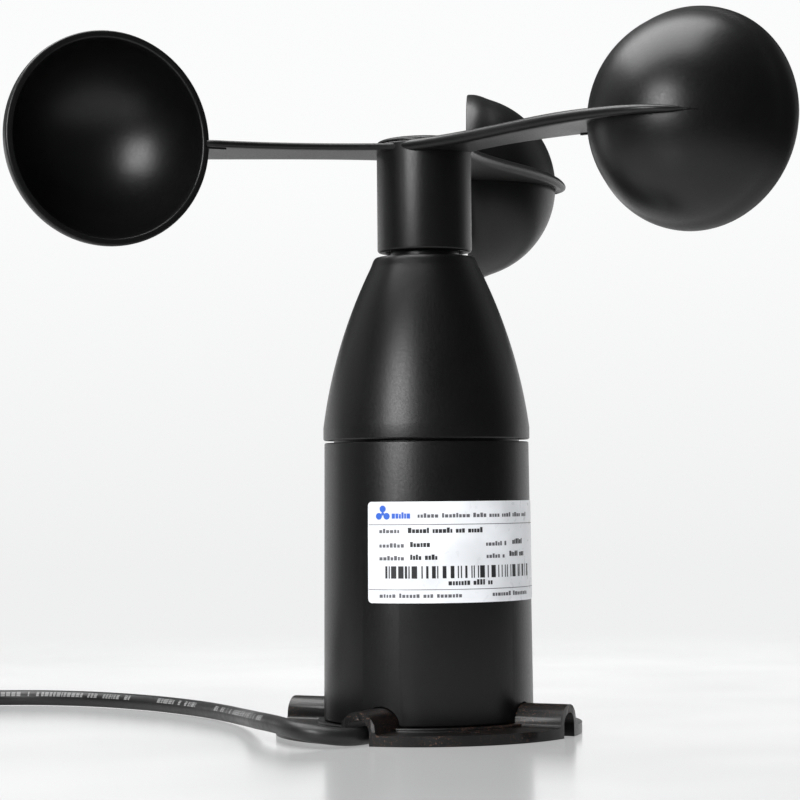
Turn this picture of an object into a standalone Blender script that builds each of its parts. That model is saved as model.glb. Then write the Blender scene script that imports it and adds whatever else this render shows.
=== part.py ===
"""Cup anemometer: three cups on a rotor over a tapered sensor body with a round cable-entry base.

Run with:  blender --background --python part.py   (or from Blender's text editor)

All lengths below are in millimetres and every helper turns them into metres.  +Z is up, the rotor
turns about the Z axis, and the origin is the centre of the base's underside.  The base's four cable
tunnels lie along -Y, +X, +Y and -X, and the cable leaves through the one along -Y.
"""
import math

import bmesh
import bpy
from mathutils import Matrix, Vector

MM = 0.001
GAP = 0.3                     # clearance kept between pieces that touch on the real object

# ---- base -------------------------------------------------------------------------------------
FLANGE_R = 37.5
FLANGE_T = 2.5
STEP_R = 27.3                 # shallow raised ring that the housing stands on
STEP_Z = 3.3
PLUG_R = 22.7                 # the part of the base that enters the housing
PLUG_Z = 13.0
PLUG_GROOVE = (9.6, 11.6)     # O-ring groove, lower and upper height
ISLAND_R = 6.5                # solid middle of the underside
RECESS_R = 15.5
RECESS_Z = 10.0
TUNNEL_R = 3.0                # inside of a cable tunnel
TUNNEL_MID_Z = 3.0
ARCH_R = 4.5                  # outside of a cable tunnel
ARCH_MID_Z = 3.4
ARCH_END = FLANGE_R - 0.15
MOUNT_HOLE_R = 2.15
MOUNT_HOLE_AT = 31.5          # radius of the circle of mounting holes
BASE_SCREW_AT = 18.6
SCREW_HEAD_R = 2.3
SCREW_HEAD_Z = (0.4, 2.3)
SCREW_SHANK_R = 1.25
SCREW_END_Z = 25.0
CABLE_HOLE_AT = 10.5          # on the -Y side
CABLE_HOLE_R = 3.7

# ---- housing and nose -------------------------------------------------------------------------
HOUSING_Z = (3.6, 70.7)
HOUSING_R = (25.6, 25.0)      # bottom, top
HOUSING_BORE_R = 23.0
BOSS_R = 3.3                  # bosses inside the housing that take the base screws
BOSS_Z = (PLUG_Z + 0.4, 29.0)
BOSS_HOLE_R = 1.55
BOSS_HOLE_TOP_Z = 26.5
BOSS_WEB = (5.6, 2.6, 15.0)   # joins a boss to the wall: outwards, across, up
NOSE_BOTTOM_Z = 71.3
NOSE_BAND_Z = 74.3
NOSE_BAND_R = 25.25
NOSE_ARC_R = 125.0            # radius of the ogive's side
NOSE_ARC_FROM = 7.4           # its lean from the vertical at the band, degrees
NOSE_ARC_TO = 26.3            # and near the top
NOSE_TOP_Z = 116.1
NOSE_WALL = 2.3
SPIGOT_R = 22.7
SPIGOT_BORE_R = 20.7
SPIGOT_Z = 62.5
SPIGOT_GROOVE = (66.0, 68.0)
SEAT_Z = (70.0, 72.5)         # ring inside the nose that the circuit board is screwed to
SEAT_R = 14.0
TUBE_R = 10.6                 # tube inside the nose that holds the bearing sleeve
TUBE_BORE_R = 8.6
TUBE_Z = (82.0, 112.9)
COLLAR_R = 8.4                # rain collar on top of the nose, under the rotor's skirt
COLLAR_Z = 121.5
SHAFT_HOLE_R = 3.4
SEAL_R = 6.0                  # pocket for the dust seal in the collar
SEAL_Z = 118.2

# ---- bearings and shaft -----------------------------------------------------------------------
SLEEVE_R = (6.8, 8.3)
SLEEVE_Z = (82.4, 112.6)
SLEEVE_WAIST_R = 5.6
LOWER_BEARING_Z = 84.8        # underside of each bearing
UPPER_BEARING_Z = 105.2
BEARING_H = 4.0
OUTER_RACE_R = (5.75, 6.5)
INNER_RACE_R = (2.8, 3.45)
BALL_PITCH_R = 4.6
BALL_R = 0.85
BALLS = 7
SHAFT_R = 2.5
SHAFT_SEAT_R = 3.0            # thicker middle that the upper bearing and the hub bear on
SHAFT_Z = (76.0, 109.5, 123.2, 142.9)

# ---- rotor ------------------------------------------------------------------------------------
HUB_R = 11.6
HUB_Z = (117.3, 143.9)
SKIRT_BORE_R = 9.7
HUB_WEB_Z = (123.5, 137.5)
HUB_POCKET_R = 8.8
CAP_Z = 145.7
ARM_MID_Z = 142.55
ARM_T = 2.4
CUP_AT = 79.1                 # rotor axis to cup centre
CUP_ANGLES = (108.3, 228.3, 348.3)
CUP_TOE = 6.0                 # a cup's axis turns in from the tangent by this much, degrees
CUP_R = 25.1
CUP_WALL = 1.5
CUP_RIM_R = 25.5
CUP_RIM_AT = -1.0             # rim plane, along the cup's axis from its centre
CUP_RIM_H = 2.2

# ---- circuit board ----------------------------------------------------------------------------
BOARD_R = 19.5
BOARD_Z = (68.1, 69.7)
BOARD_SCREW_AT = 17.3
MAGNET_R = (3.6, 6.6)
MAGNET_MID_R = (MAGNET_R[0] + MAGNET_R[1]) / 2
MAGNET_H = 2.3
HOLDER_R = 7.0
HEADER_AT = (0.0, -12.4)      # connector that the four leads come to
HEADER_H = 6.8
LEAD_PITCH = 2.5
LEAD_POINTS = 12
HOLDER_Z = (74.5, 80.5)

# ---- label ------------------------------------------------------------------------------------
LABEL_Z = (32.5, 56.4)
LABEL_ANGLES = (-97.0, 19.0)
LABEL_GAP = 0.15
LABEL_T = 0.15

# ---- cable ------------------------------------------------------------------------------------
CABLE_R = 2.1
BEND_R = 8.8                  # bend under the base, where the cable turns into its tunnel
CABLE_TOP_Z = 22.0
TUNNEL_JOINT_Y = -21.0        # where the inner length meets the outer one, inside the tunnel
ROUTE = [                     # outer cable's centre, from the tunnel to the coil: x, y, height
    (0.3, -21.3, 2.3), (0.3, -28.0, 2.2), (0.1, -33.0, 2.15), (-0.45, -37.4, 2.2),
    (-1.9, -41.2, 2.45), (-5.3, -44.0, 3.0), (-9.9, -44.7, 3.65), (-14.6, -42.8, 4.1),
    (-20.6, -37.9, 4.25), (-27.0, -32.3, 4.2), (-33.3, -25.9, 3.9), (-39.6, -17.6, 3.3),
    (-49.8, -5.2, 2.5), (-62.0, 6.0, 2.2), (-75.4, 15.3, 2.15), (-93.4, 24.2, 2.15),
    (-109.7, 29.3, 2.15), (-123.8, 30.9, 2.15), (-136.6, 29.2, 2.15), (-146.9, 24.8, 2.15),
    (-158.9, 18.0, 2.15)]
COIL_MID_R = 22.0
COIL_TURNS_WIDE = 3
COIL_LAYERS = 3
COIL_PITCH = 4.2
COIL_LIFT = 0.5               # the tie passes under the turns
COIL_CENTRE = (-161.9, -12.7)
TAIL_ANGLES = (315.0, 525.0)  # the free end lies on top of the coil
CORE_R = 0.6
CORE_LENGTH = 14.0

TAU = math.tau


# ---- materials --------------------------------------------------------------------------------
def material(name, colour, roughness, metallic=0.0):
    mat = bpy.data.materials.new(name)
    mat.use_nodes = True
    shader = mat.node_tree.nodes["Principled BSDF"]
    shader.inputs["Base Color"].default_value = (*colour, 1.0)
    shader.inputs["Roughness"].default_value = roughness
    shader.inputs["Metallic"].default_value = metallic
    return mat


def make_materials():
    return {
        "black_paint": material("black_paint", (0.016, 0.016, 0.017), 0.42),
        "steel": material("steel", (0.62, 0.62, 0.63), 0.28, 1.0),
        "aluminium": material("aluminium", (0.72, 0.73, 0.74), 0.35, 1.0),
        "brass": material("brass", (0.72, 0.52, 0.22), 0.3, 1.0),
        "rubber": material("rubber", (0.02, 0.02, 0.02), 0.75),
        "black_plastic": material("black_plastic", (0.02, 0.02, 0.022), 0.5),
        "board_green": material("board_green", (0.015, 0.16, 0.06), 0.4),
        "chip_black": material("chip_black", (0.012, 0.012, 0.014), 0.45),
        "header_white": material("header_white", (0.8, 0.79, 0.74), 0.4),
        "magnet": material("magnet", (0.45, 0.45, 0.47), 0.3, 1.0),
        "label_white": material("label_white", (0.85, 0.86, 0.88), 0.35),
        "cable_black": material("cable_black", (0.018, 0.018, 0.019), 0.5),
        "lead_brown": material("lead_brown", (0.16, 0.06, 0.025), 0.45),
        "lead_black": material("lead_black", (0.02, 0.02, 0.02), 0.45),
        "lead_yellow": material("lead_yellow", (0.75, 0.55, 0.04), 0.45),
        "lead_blue": material("lead_blue", (0.03, 0.1, 0.42), 0.45),
        "nylon": material("nylon", (0.78, 0.77, 0.72), 0.5),
    }


# ---- making objects ---------------------------------------------------------------------------
def add(name, mesh, collection, mat=None, place=Matrix.Identity(4)):
    obj = bpy.data.objects.new(name, mesh)
    obj.matrix_world = place
    if mat:
        mesh.materials.append(mat)
    collection.objects.link(obj)
    if collection is CUTTERS:
        obj.hide_render = True
        obj.display_type = "WIRE"
    return obj


def shift(x=0.0, y=0.0, z=0.0):
    return Matrix.Translation((x * MM, y * MM, z * MM))


def turn(degrees, axis="Z"):
    return Matrix.Rotation(math.radians(degrees), 4, axis)


def turned(name, profile, collection, mat=None, steps=32, closed=True, angle=360.0,
           place=Matrix.Identity(4)):
    """Solid of revolution about Z.  The profile runs down its outer side, top to bottom."""
    mesh = bpy.data.meshes.new(name)
    verts = [(r * MM, 0.0, z * MM) for r, z in profile]
    edges = [(i, i + 1) for i in range(len(verts) - 1)]
    if closed:
        edges.append((len(verts) - 1, 0))
    mesh.from_pydata(verts, edges, [])
    obj = add(name, mesh, collection, mat, place)
    screw = obj.modifiers.new("turn", "SCREW")
    screw.axis = "Z"
    screw.angle = math.radians(angle)
    screw.steps = screw.render_steps = steps
    screw.use_merge_vertices = True
    screw.merge_threshold = 0.00001
    screw.use_smooth_shade = False
    return obj


def ring(name, r_in, r_out, z_low, z_high, collection, mat=None, steps=32, place=Matrix.Identity(4)):
    profile = [(r_out, z_high), (r_out, z_low), (r_in, z_low), (r_in, z_high)]
    return turned(name, profile, collection, mat, steps, place=place)


def primitive(name, build, collection, mat=None, place=Matrix.Identity(4)):
    bm = bmesh.new()
    build(bm)
    mesh = bpy.data.meshes.new(name)
    bm.to_mesh(mesh)
    bm.free()
    return add(name, mesh, collection, mat, place)


def block(name, size, middle, collection, mat=None, place=Matrix.Identity(4)):
    def build(bm):
        bmesh.ops.create_cube(bm, size=MM)
        bmesh.ops.scale(bm, vec=size, verts=bm.verts)
    return primitive(name, build, collection, mat, place @ shift(*middle))


def rod(name, r, z_low, z_high, collection, mat=None, steps=20, at=(0.0, 0.0), top_r=None):
    def build(bm):
        bmesh.ops.create_cone(bm, cap_ends=True, segments=steps, radius1=r * MM,
                              radius2=(r if top_r is None else top_r) * MM,
                              depth=(z_high - z_low) * MM)
    return primitive(name, build, collection, mat, shift(at[0], at[1], (z_low + z_high) / 2))


def outline_piece(name, outline, thickness, collection, mat=None, place=Matrix.Identity(4)):
    """A flat outline in XY, thickened evenly about its plane, as a welded mesh."""
    curve = bpy.data.curves.new(name, "CURVE")
    curve.dimensions = "2D"
    curve.fill_mode = "BOTH"
    curve.extrude = thickness * MM / 2
    spline = curve.splines.new("POLY")
    spline.points.add(len(outline) - 1)
    for point, (x, y) in zip(spline.points, outline):
        point.co = (x * MM, y * MM, 0.0, 1.0)
    spline.use_cyclic_u = True
    return welded(name, curve, collection, mat, place)


def welded(name, curve, collection, mat, place=Matrix.Identity(4)):
    """The mesh of a curve with its caps welded on."""
    guide = bpy.data.objects.new(name + "_guide", curve)
    CUTTERS.objects.link(guide)
    bpy.context.view_layer.update()
    evaluated = guide.evaluated_get(bpy.context.evaluated_depsgraph_get())
    mesh = bpy.data.meshes.new_from_object(evaluated)
    mesh.name = name
    bm = bmesh.new()
    bm.from_mesh(mesh)
    bmesh.ops.remove_doubles(bm, verts=bm.verts, dist=0.000001)
    bm.to_mesh(mesh)
    bm.free()
    bpy.data.objects.remove(guide)
    return add(name, mesh, collection, mat, place)


def tube(name, points, radius, collection, mat, resolution=2):
    """A round wire or cable through the points, as a curve with filled caps."""
    curve = bpy.data.curves.new(name, "CURVE")
    curve.dimensions = "3D"
    curve.bevel_depth = radius * MM
    curve.bevel_resolution = resolution
    curve.use_fill_caps = True
    spline = curve.splines.new("POLY")
    spline.points.add(len(points) - 1)
    for point, (x, y, z) in zip(spline.points, points):
        point.co = (x * MM, y * MM, z * MM, 1.0)
    obj = bpy.data.objects.new(name, curve)
    curve.materials.append(mat)
    collection.objects.link(obj)
    return obj


def boolean(obj, cutter, operation="DIFFERENCE"):
    mod = obj.modifiers.new(operation.lower(), "BOOLEAN")
    mod.operation = operation
    mod.solver = "EXACT"
    mod.object = cutter


def arc(centre_r, centre_z, radius, start, end, count):
    """Points on an arc in the R-Z plane; angles in degrees from +R towards +Z."""
    points = []
    for i in range(count + 1):
        a = math.radians(start + (end - start) * i / count)
        points.append((centre_r + radius * math.cos(a), centre_z + radius * math.sin(a)))
    return points


def bezier(a, b, c, d, count):
    points = []
    for i in range(count + 1):
        t = i / count
        s = 1 - t
        weights = (s * s * s, 3 * s * s * t, 3 * s * t * t, t * t * t)
        points.append(tuple(sum(w * p[k] for w, p in zip(weights, (a, b, c, d)))
                            for k in range(len(a))))
    return points


def smooth_route(points, step):
    """Points every step along a Catmull-Rom curve through the given points."""
    ends = [Vector(points[0]) * 2 - Vector(points[1])]
    ends += [Vector(p) for p in points]
    ends.append(ends[-1] * 2 - ends[-2])
    dense = []
    for i in range(1, len(ends) - 2):
        a, b, c, d = ends[i - 1:i + 3]
        for k in range(20):
            t = k / 20
            dense.append(0.5 * (2 * b + (c - a) * t + (2 * a - 5 * b + 4 * c - d) * t * t
                                + (3 * b - 3 * c + d - a) * t * t * t))
    dense.append(ends[-2])
    lengths = [0.0]
    for p, q in zip(dense, dense[1:]):
        lengths.append(lengths[-1] + (q - p).length)
    count = max(2, round(lengths[-1] / step))
    route = []
    j = 0
    for i in range(count + 1):
        want = lengths[-1] * i / count
        while j < len(dense) - 2 and lengths[j + 1] < want:
            j += 1
        share = (want - lengths[j]) / (lengths[j + 1] - lengths[j])
        route.append(tuple(dense[j].lerp(dense[j + 1], share)))
    return route


def around(radius, count, start=0.0):
    """Places evenly spaced on a circle about the axis."""
    return [(radius * math.cos(math.radians(start) + TAU * i / count),
             radius * math.sin(math.radians(start) + TAU * i / count)) for i in range(count)]


# ---- base and housing -------------------------------------------------------------------------
def tunnel_outline(radius, mid_z, foot_z):
    """Half-round top on straight sides: x across the tunnel, y up."""
    return [(radius, foot_z)] + arc(0.0, mid_z, radius, 0.0, 180.0, 6) + [(-radius, foot_z)]


def radial_prism(name, outline, start, end, degrees):
    """An upright outline swept outwards from start to end, in the direction of degrees."""
    upright = turn(degrees + 90.0) @ shift(0.0, -(start + end) / 2) @ turn(90.0, "X")
    return outline_piece(name, outline, end - start, CUTTERS, place=upright)


def make_base(mats):
    groove_r = PLUG_R - 1.7
    profile = [(PLUG_R - 0.5, PLUG_Z), (PLUG_R, PLUG_Z - 0.5), (PLUG_R, PLUG_GROOVE[1]),
               (groove_r, PLUG_GROOVE[1]), (groove_r, PLUG_GROOVE[0]), (PLUG_R, PLUG_GROOVE[0]),
               (PLUG_R, STEP_Z), (STEP_R, STEP_Z), (STEP_R, FLANGE_T),
               (FLANGE_R - 0.4, FLANGE_T), (FLANGE_R, FLANGE_T - 0.4), (FLANGE_R, 0.0),
               (RECESS_R, 0.0), (RECESS_R, RECESS_Z), (ISLAND_R, RECESS_Z), (ISLAND_R, 0.0),
               (0.0, 0.0)]
    base = turned("base_flange", [(0.0, PLUG_Z)] + profile, PARTS, mats["black_paint"], 28,
                  closed=False)
    arch = tunnel_outline(ARCH_R, ARCH_MID_Z, 0.6)
    bore = tunnel_outline(TUNNEL_R, TUNNEL_MID_Z, -1.0)
    for i in range(4):
        boolean(base, radial_prism(f"arch_{i}", arch, PLUG_R - 1.5, ARCH_END, i * 90.0 - 90.0),
                "UNION")
    for i in range(4):
        boolean(base, radial_prism(f"tunnel_{i}", bore, RECESS_R - 2.0, FLANGE_R + 2.0,
                                   i * 90.0 - 90.0))
    for i, at in enumerate(around(MOUNT_HOLE_AT, 4, 45.0)):
        boolean(base, rod(f"mount_hole_{i}", MOUNT_HOLE_R, -1.0, STEP_Z + 1.0, CUTTERS, steps=14,
                          at=at))
    for i, at in enumerate(around(BASE_SCREW_AT, 4, 45.0)):
        boolean(base, rod(f"screw_head_hole_{i}", 2.7, -1.0, 2.7, CUTTERS, steps=14, at=at))
        boolean(base, rod(f"screw_hole_{i}", 1.6, -1.0, PLUG_Z + 1.0, CUTTERS, steps=10, at=at))
    boolean(base, rod("cable_hole", CABLE_HOLE_R, RECESS_Z - 1.0, PLUG_Z + 1.0, CUTTERS,
                      at=(0.0, -CABLE_HOLE_AT)))


def make_lower_housing(mats):
    low, high = HOUSING_Z
    profile = [(HOUSING_R[1] - 0.3, high), (HOUSING_R[1], high - 0.3), (HOUSING_R[0], low),
               (HOUSING_BORE_R, low), (HOUSING_BORE_R, high)]
    housing = turned("lower_housing", profile, PARTS, mats["black_paint"], 32)
    for i, (x, y) in enumerate(around(BASE_SCREW_AT, 4, 45.0)):
        boolean(housing, rod(f"boss_{i}", BOSS_R, *BOSS_Z, CUTTERS, steps=14, at=(x, y)), "UNION")
        web_middle = (BASE_SCREW_AT + 3.2, 0.0, BOSS_Z[0] + 0.5 + BOSS_WEB[2] / 2)
        web = block(f"boss_web_{i}", BOSS_WEB, web_middle, CUTTERS, place=turn(45.0 + 90.0 * i))
        boolean(housing, web, "UNION")
        boolean(housing, rod(f"boss_hole_{i}", BOSS_HOLE_R, PLUG_Z - 1.0, BOSS_HOLE_TOP_Z,
                             CUTTERS, steps=12, at=(x, y)))
    notch = tunnel_outline(ARCH_R + GAP, ARCH_MID_Z, 1.0)
    for i in range(4):
        boolean(housing, radial_prism(f"arch_notch_{i}", notch, HOUSING_BORE_R - 2.0,
                                      HOUSING_R[0] + 2.0, i * 90.0 - 90.0))


def nose_side(offset, count):
    """The ogive's side from top to bottom, moved inwards by offset."""
    centre_r = NOSE_BAND_R - NOSE_ARC_R * math.cos(math.radians(NOSE_ARC_FROM))
    centre_z = NOSE_BAND_Z - NOSE_ARC_R * math.sin(math.radians(NOSE_ARC_FROM))
    return arc(centre_r, centre_z, NOSE_ARC_R - offset, NOSE_ARC_TO, NOSE_ARC_FROM, count)


def make_nose(mats):
    outside = nose_side(0.0, 6)
    inside = nose_side(NOSE_WALL, 3)[::-1]
    shoulder_r, shoulder_z = outside[0]
    groove_r = SPIGOT_R - 1.7
    profile = [(COLLAR_R, COLLAR_Z), (COLLAR_R, NOSE_TOP_Z), (shoulder_r - 1.3, NOSE_TOP_Z),
               (shoulder_r - 0.4, (NOSE_TOP_Z + shoulder_z) / 2 + 0.35)]
    profile += outside
    profile += [(NOSE_BAND_R, NOSE_BOTTOM_Z), (SPIGOT_R, NOSE_BOTTOM_Z),
                (SPIGOT_R, SPIGOT_GROOVE[1]), (groove_r, SPIGOT_GROOVE[1]),
                (groove_r, SPIGOT_GROOVE[0]), (SPIGOT_R, SPIGOT_GROOVE[0]), (SPIGOT_R, SPIGOT_Z),
                (SPIGOT_BORE_R, SPIGOT_Z), (SPIGOT_BORE_R, SEAT_Z[0]), (SEAT_R, SEAT_Z[0]),
                (SEAT_R, SEAT_Z[1]), (inside[0][0], SEAT_Z[1])]
    profile += [point for point in inside if point[0] > TUBE_R + 0.5 and point[1] > SEAT_Z[1]]
    profile += [(TUBE_R, TUBE_Z[1] - 1.5), (TUBE_R, TUBE_Z[0]), (TUBE_BORE_R, TUBE_Z[0]),
                (TUBE_BORE_R, TUBE_Z[1]), (SHAFT_HOLE_R, TUBE_Z[1]), (SHAFT_HOLE_R, SEAL_Z),
                (SEAL_R, SEAL_Z), (SEAL_R, COLLAR_Z)]
    nose = turned("nose_cone", profile, PARTS, mats["black_paint"], 28)
    for i, at in enumerate(around(BOARD_SCREW_AT, 3, 90.0)):
        boolean(nose, rod(f"board_screw_hole_{i}", 1.3, SEAT_Z[0] - 1.0, SEAT_Z[1] + 1.0,
                          CUTTERS, steps=12, at=at))
    ring("dust_seal", SHAFT_SEAT_R + 0.2, SEAL_R - GAP, SEAL_Z + GAP, COLLAR_Z - 0.2, PARTS,
         mats["rubber"], 24)


def make_o_rings(mats):
    for name, (low, high), plug_r in (("base_seal", PLUG_GROOVE, PLUG_R),
                                      ("nose_seal", SPIGOT_GROOVE, SPIGOT_R)):
        section = arc(plug_r - 0.75, (low + high) / 2, 0.68, 90.0, -270.0, 6)[:-1]
        turned(name, section, PARTS, mats["rubber"], 28)


# ---- bearings and shaft -----------------------------------------------------------------------
def make_bearing_sleeve(mats):
    bore, outer = SLEEVE_R
    low, high = SLEEVE_Z
    clip_r = bore + 0.8
    profile = [(outer, high), (outer, low), (bore, low), (bore, low + 0.7), (clip_r, low + 0.7),
               (clip_r, low + 2.1), (bore, low + 2.1), (bore, LOWER_BEARING_Z + BEARING_H + 0.2),
               (SLEEVE_WAIST_R, LOWER_BEARING_Z + BEARING_H + 0.2),
               (SLEEVE_WAIST_R, UPPER_BEARING_Z - 0.2), (bore, UPPER_BEARING_Z - 0.2),
               (bore, high - 3.1), (clip_r, high - 3.1), (clip_r, high - 1.7),
               (bore, high - 1.7), (bore, high)]
    turned("bearing_sleeve", profile, PARTS, mats["aluminium"], 20)
    clip = [(clip_r - GAP, -0.5), (5.2, -0.5), (5.2, 0.5), (clip_r - GAP, 0.5)]
    for name, z in (("lower_circlip", low + 1.4), ("upper_circlip", high - 2.4)):
        loop = turned(name, [clip[3], clip[0], clip[1], clip[2]], PARTS, mats["steel"], 20,
                      place=shift(z=z))
        boolean(loop, block(name + "_gap", (4.0, 3.0, 4.0), (clip_r - 1.0, 0.0, z), CUTTERS))


def make_bearing(prefix, low, mats):
    high = low + BEARING_H
    mid = (low + high) / 2
    ring(prefix + "_outer_race", *OUTER_RACE_R, low, high, PARTS, mats["steel"], 20)
    ring(prefix + "_inner_race", *INNER_RACE_R, low, high, PARTS, mats["steel"], 20)
    cage = ring(prefix + "_ball_cage", BALL_PITCH_R - 0.3, BALL_PITCH_R + 0.3, -0.45, 0.45, PARTS,
                mats["brass"], 14, place=shift(z=mid))

    def build(bm):
        bmesh.ops.create_icosphere(bm, subdivisions=1, radius=BALL_R * MM)
    for i, (x, y) in enumerate(around(BALL_PITCH_R, BALLS, 9.0)):
        ball = primitive(f"{prefix}_ball_{i}", build, CUTTERS, place=shift(x, y, mid))
        boolean(cage, ball, "UNION")


def make_shaft(mats):
    bottom, seat, hub_seat, top = SHAFT_Z
    profile = [(0.0, top), (SHAFT_R - 0.4, top), (SHAFT_R, top - 0.4), (SHAFT_R, hub_seat),
               (SHAFT_SEAT_R, hub_seat), (SHAFT_SEAT_R, seat), (SHAFT_R, seat),
               (SHAFT_R, bottom + 0.4), (SHAFT_R - 0.4, bottom), (0.0, bottom)]
    turned("rotor_shaft", profile, PARTS, mats["steel"], 18, closed=False)
    ring("inner_race_spacer", INNER_RACE_R[0], INNER_RACE_R[1], LOWER_BEARING_Z + BEARING_H + GAP,
         UPPER_BEARING_Z - GAP, PARTS, mats["brass"], 20)
    clip_z = LOWER_BEARING_Z - GAP - 0.8
    clip = ring("shaft_clip", INNER_RACE_R[0], 4.4, clip_z, clip_z + 0.8, PARTS, mats["steel"], 20)
    boolean(clip, block("shaft_clip_gap", (4.0, 3.4, 3.0), (4.4, 0.0, clip_z), CUTTERS))
    low, high = HOLDER_Z
    bore_r = SHAFT_R + GAP
    turned("magnet_holder", [(0.0, bottom - GAP), (bore_r, bottom - GAP), (bore_r, high),
                             (HOLDER_R, high), (HOLDER_R, low + MAGNET_H + GAP),
                             (MAGNET_R[0] - GAP, low + MAGNET_H + GAP), (MAGNET_R[0] - GAP, low),
                             (0.0, low)],
           PARTS, mats["black_plastic"], 20, closed=False)
    ring("ring_magnet", *MAGNET_R, low, low + MAGNET_H, PARTS, mats["magnet"], 20)


# ---- rotor ------------------------------------------------------------------------------------
def cup_place(degrees):
    """A cup's own frame: origin at its centre, +Z out of its open side."""
    opening = degrees + 90.0 + CUP_TOE
    return (turn(degrees) @ shift(CUP_AT, 0.0, ARM_MID_Z) @ turn(-degrees) @ turn(opening)
            @ turn(90.0, "Y"))


def cup_profile():
    rim_z = CUP_RIM_AT
    inner_r = CUP_R - CUP_WALL
    inner = arc(0.0, 0.0, inner_r, -90.0, -4.0, 6)
    outer = arc(0.0, 0.0, CUP_R, -10.0, -90.0, 6)
    inner[0] = (0.0, -inner_r)
    outer[-1] = (0.0, -CUP_R)
    rim = [(inner_r + 0.3, rim_z), (CUP_RIM_R - 0.4, rim_z), (CUP_RIM_R, rim_z - 0.4),
           (CUP_RIM_R, rim_z - CUP_RIM_H + 0.3)]
    return inner + rim + outer


def cup_clearance_profile():
    """The cup's outside, one gap larger and filled in."""
    outer_r = CUP_R + 1.4 * GAP
    rim_r = CUP_RIM_R + GAP
    rim_foot = CUP_RIM_AT - CUP_RIM_H - GAP
    outside = arc(0.0, 0.0, outer_r, -10.0, -90.0, 6)
    outside[-1] = (0.0, -outer_r)
    return [(0.0, 2.0), (rim_r, 2.0), (rim_r, rim_foot)] + outside


def arm_outline():
    """One arm seen from above, with its cup's centre on +X: front edge, fin, back edge."""
    pole = (CUP_AT, -28.0)
    front = bezier((0.0, -HUB_R + 0.2), (28.0, -HUB_R + 0.2), (52.0, -28.4), pole, 9)
    fin = bezier(pole, (84.5, -27.9), (88.8, -26.4), (92.4, -23.4), 4)[1:]
    under_cup = [(86.0, -12.0), (62.0, -2.4)]
    back = bezier((54.5, -2.2), (38.0, -3.4), (24.0, -1.4), (9.4, 6.6), 6)
    return front + fin + under_cup + back


def make_rotor(mats):
    low, high = HUB_Z
    web_low, web_high = HUB_WEB_Z
    profile = [(HUB_R - 0.5, high), (HUB_R, high - 0.5), (HUB_R, low + 0.6), (HUB_R - 0.6, low),
               (SKIRT_BORE_R, low), (SKIRT_BORE_R, web_low), (SHAFT_R + GAP, web_low),
               (SHAFT_R + GAP, high)]
    hub = turned("rotor_hub", profile, PARTS, mats["black_paint"], 24)
    pocket = rod("nut_pocket", HUB_POCKET_R, web_high, high + 3.0, CUTTERS, steps=24)
    for i, degrees in enumerate(CUP_ANGLES, start=1):
        arm = outline_piece(f"arm_{i}", arm_outline(), ARM_T, CUTTERS,
                            place=turn(degrees) @ shift(z=ARM_MID_Z))
        boolean(hub, arm, "UNION")
    boolean(hub, pocket)
    for i, degrees in enumerate(CUP_ANGLES, start=1):
        clear = turned(f"cup_clearance_{i}", cup_clearance_profile(), CUTTERS, steps=22,
                       closed=False, place=cup_place(degrees))
        boolean(hub, clear)
        turned(f"cup_{i}", cup_profile(), PARTS, mats["black_paint"], 22, closed=False,
               place=cup_place(degrees))


def make_hub_fasteners(mats):
    web_z = HUB_WEB_Z[1]
    ring("hub_washer", SHAFT_R + GAP, 5.4, web_z + GAP, web_z + GAP + 0.8, PARTS, mats["steel"], 24)
    nut_z = web_z + 2 * GAP + 0.8
    nut = rod("hub_nut", 4.6, nut_z, nut_z + 3.6, PARTS, mats["steel"], steps=6)
    boolean(nut, rod("nut_bore", SHAFT_R + GAP, nut_z - 1.0, nut_z + 5.0, CUTTERS))
    foot = HUB_Z[1] + GAP
    spigot_r = HUB_POCKET_R - GAP
    dome = [(HUB_R * math.cos(a) - 0.2 * math.cos(a),
             foot + 0.3 + (CAP_Z - foot - 0.3) * math.sin(a))
            for a in (math.radians(90.0 - 90.0 * i / 4) for i in range(5))]
    dome[0] = (0.0, CAP_Z)
    turned("hub_cap", dome + [(HUB_R - 0.2, foot), (spigot_r, foot), (spigot_r, foot - 2.0),
                              (spigot_r - 1.1, foot - 2.0), (spigot_r - 1.1, foot), (0.0, foot)],
           PARTS, mats["black_paint"], 24, closed=False)


# ---- circuit board ----------------------------------------------------------------------------
def make_board(mats):
    low, high = BOARD_Z
    board = rod("sensor_board", BOARD_R, low, high, PARTS, mats["board_green"], steps=32)
    for i, at in enumerate(around(BOARD_SCREW_AT, 3, 90.0)):
        boolean(board, rod(f"board_hole_{i}", 1.3, low - 1.0, high + 1.0, CUTTERS, steps=12, at=at))
        screw = rod(f"board_screw_{i + 1}", 2.0, low - GAP - 1.3, low - GAP, PARTS, mats["steel"],
                    steps=14, at=at)
        boolean(screw, rod(f"board_shank_{i}", 1.0, low - GAP - 0.3, SEAT_Z[1] - 0.3, CUTTERS,
                           steps=12, at=at), "UNION")
    under = low - GAP
    chips = (("controller_chip", (7.0, 7.0, 1.2), (5.5, 5.0), "chip_black"),
             ("bus_transceiver", (5.0, 4.0, 1.6), (-6.5, 6.0), "chip_black"),
             ("voltage_regulator", (6.5, 6.0, 2.3), (9.5, -5.0), "chip_black"),
             ("wire_header", (11.0, 6.0, HEADER_H), HEADER_AT, "header_white"))
    for name, size, (x, y), colour in chips:
        block(name, size, (x, y, under - size[2] / 2), PARTS, mats[colour])
    rod("filter_capacitor", 3.15, under - 8.0, under, PARTS, mats["aluminium"], steps=20,
        at=(-9.0, -4.0))
    above = high + GAP
    block("hall_sensor", (4.1, 1.6, 3.2), (MAGNET_MID_R, 0.0, above + 1.6), PARTS,
          mats["chip_black"])


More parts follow.
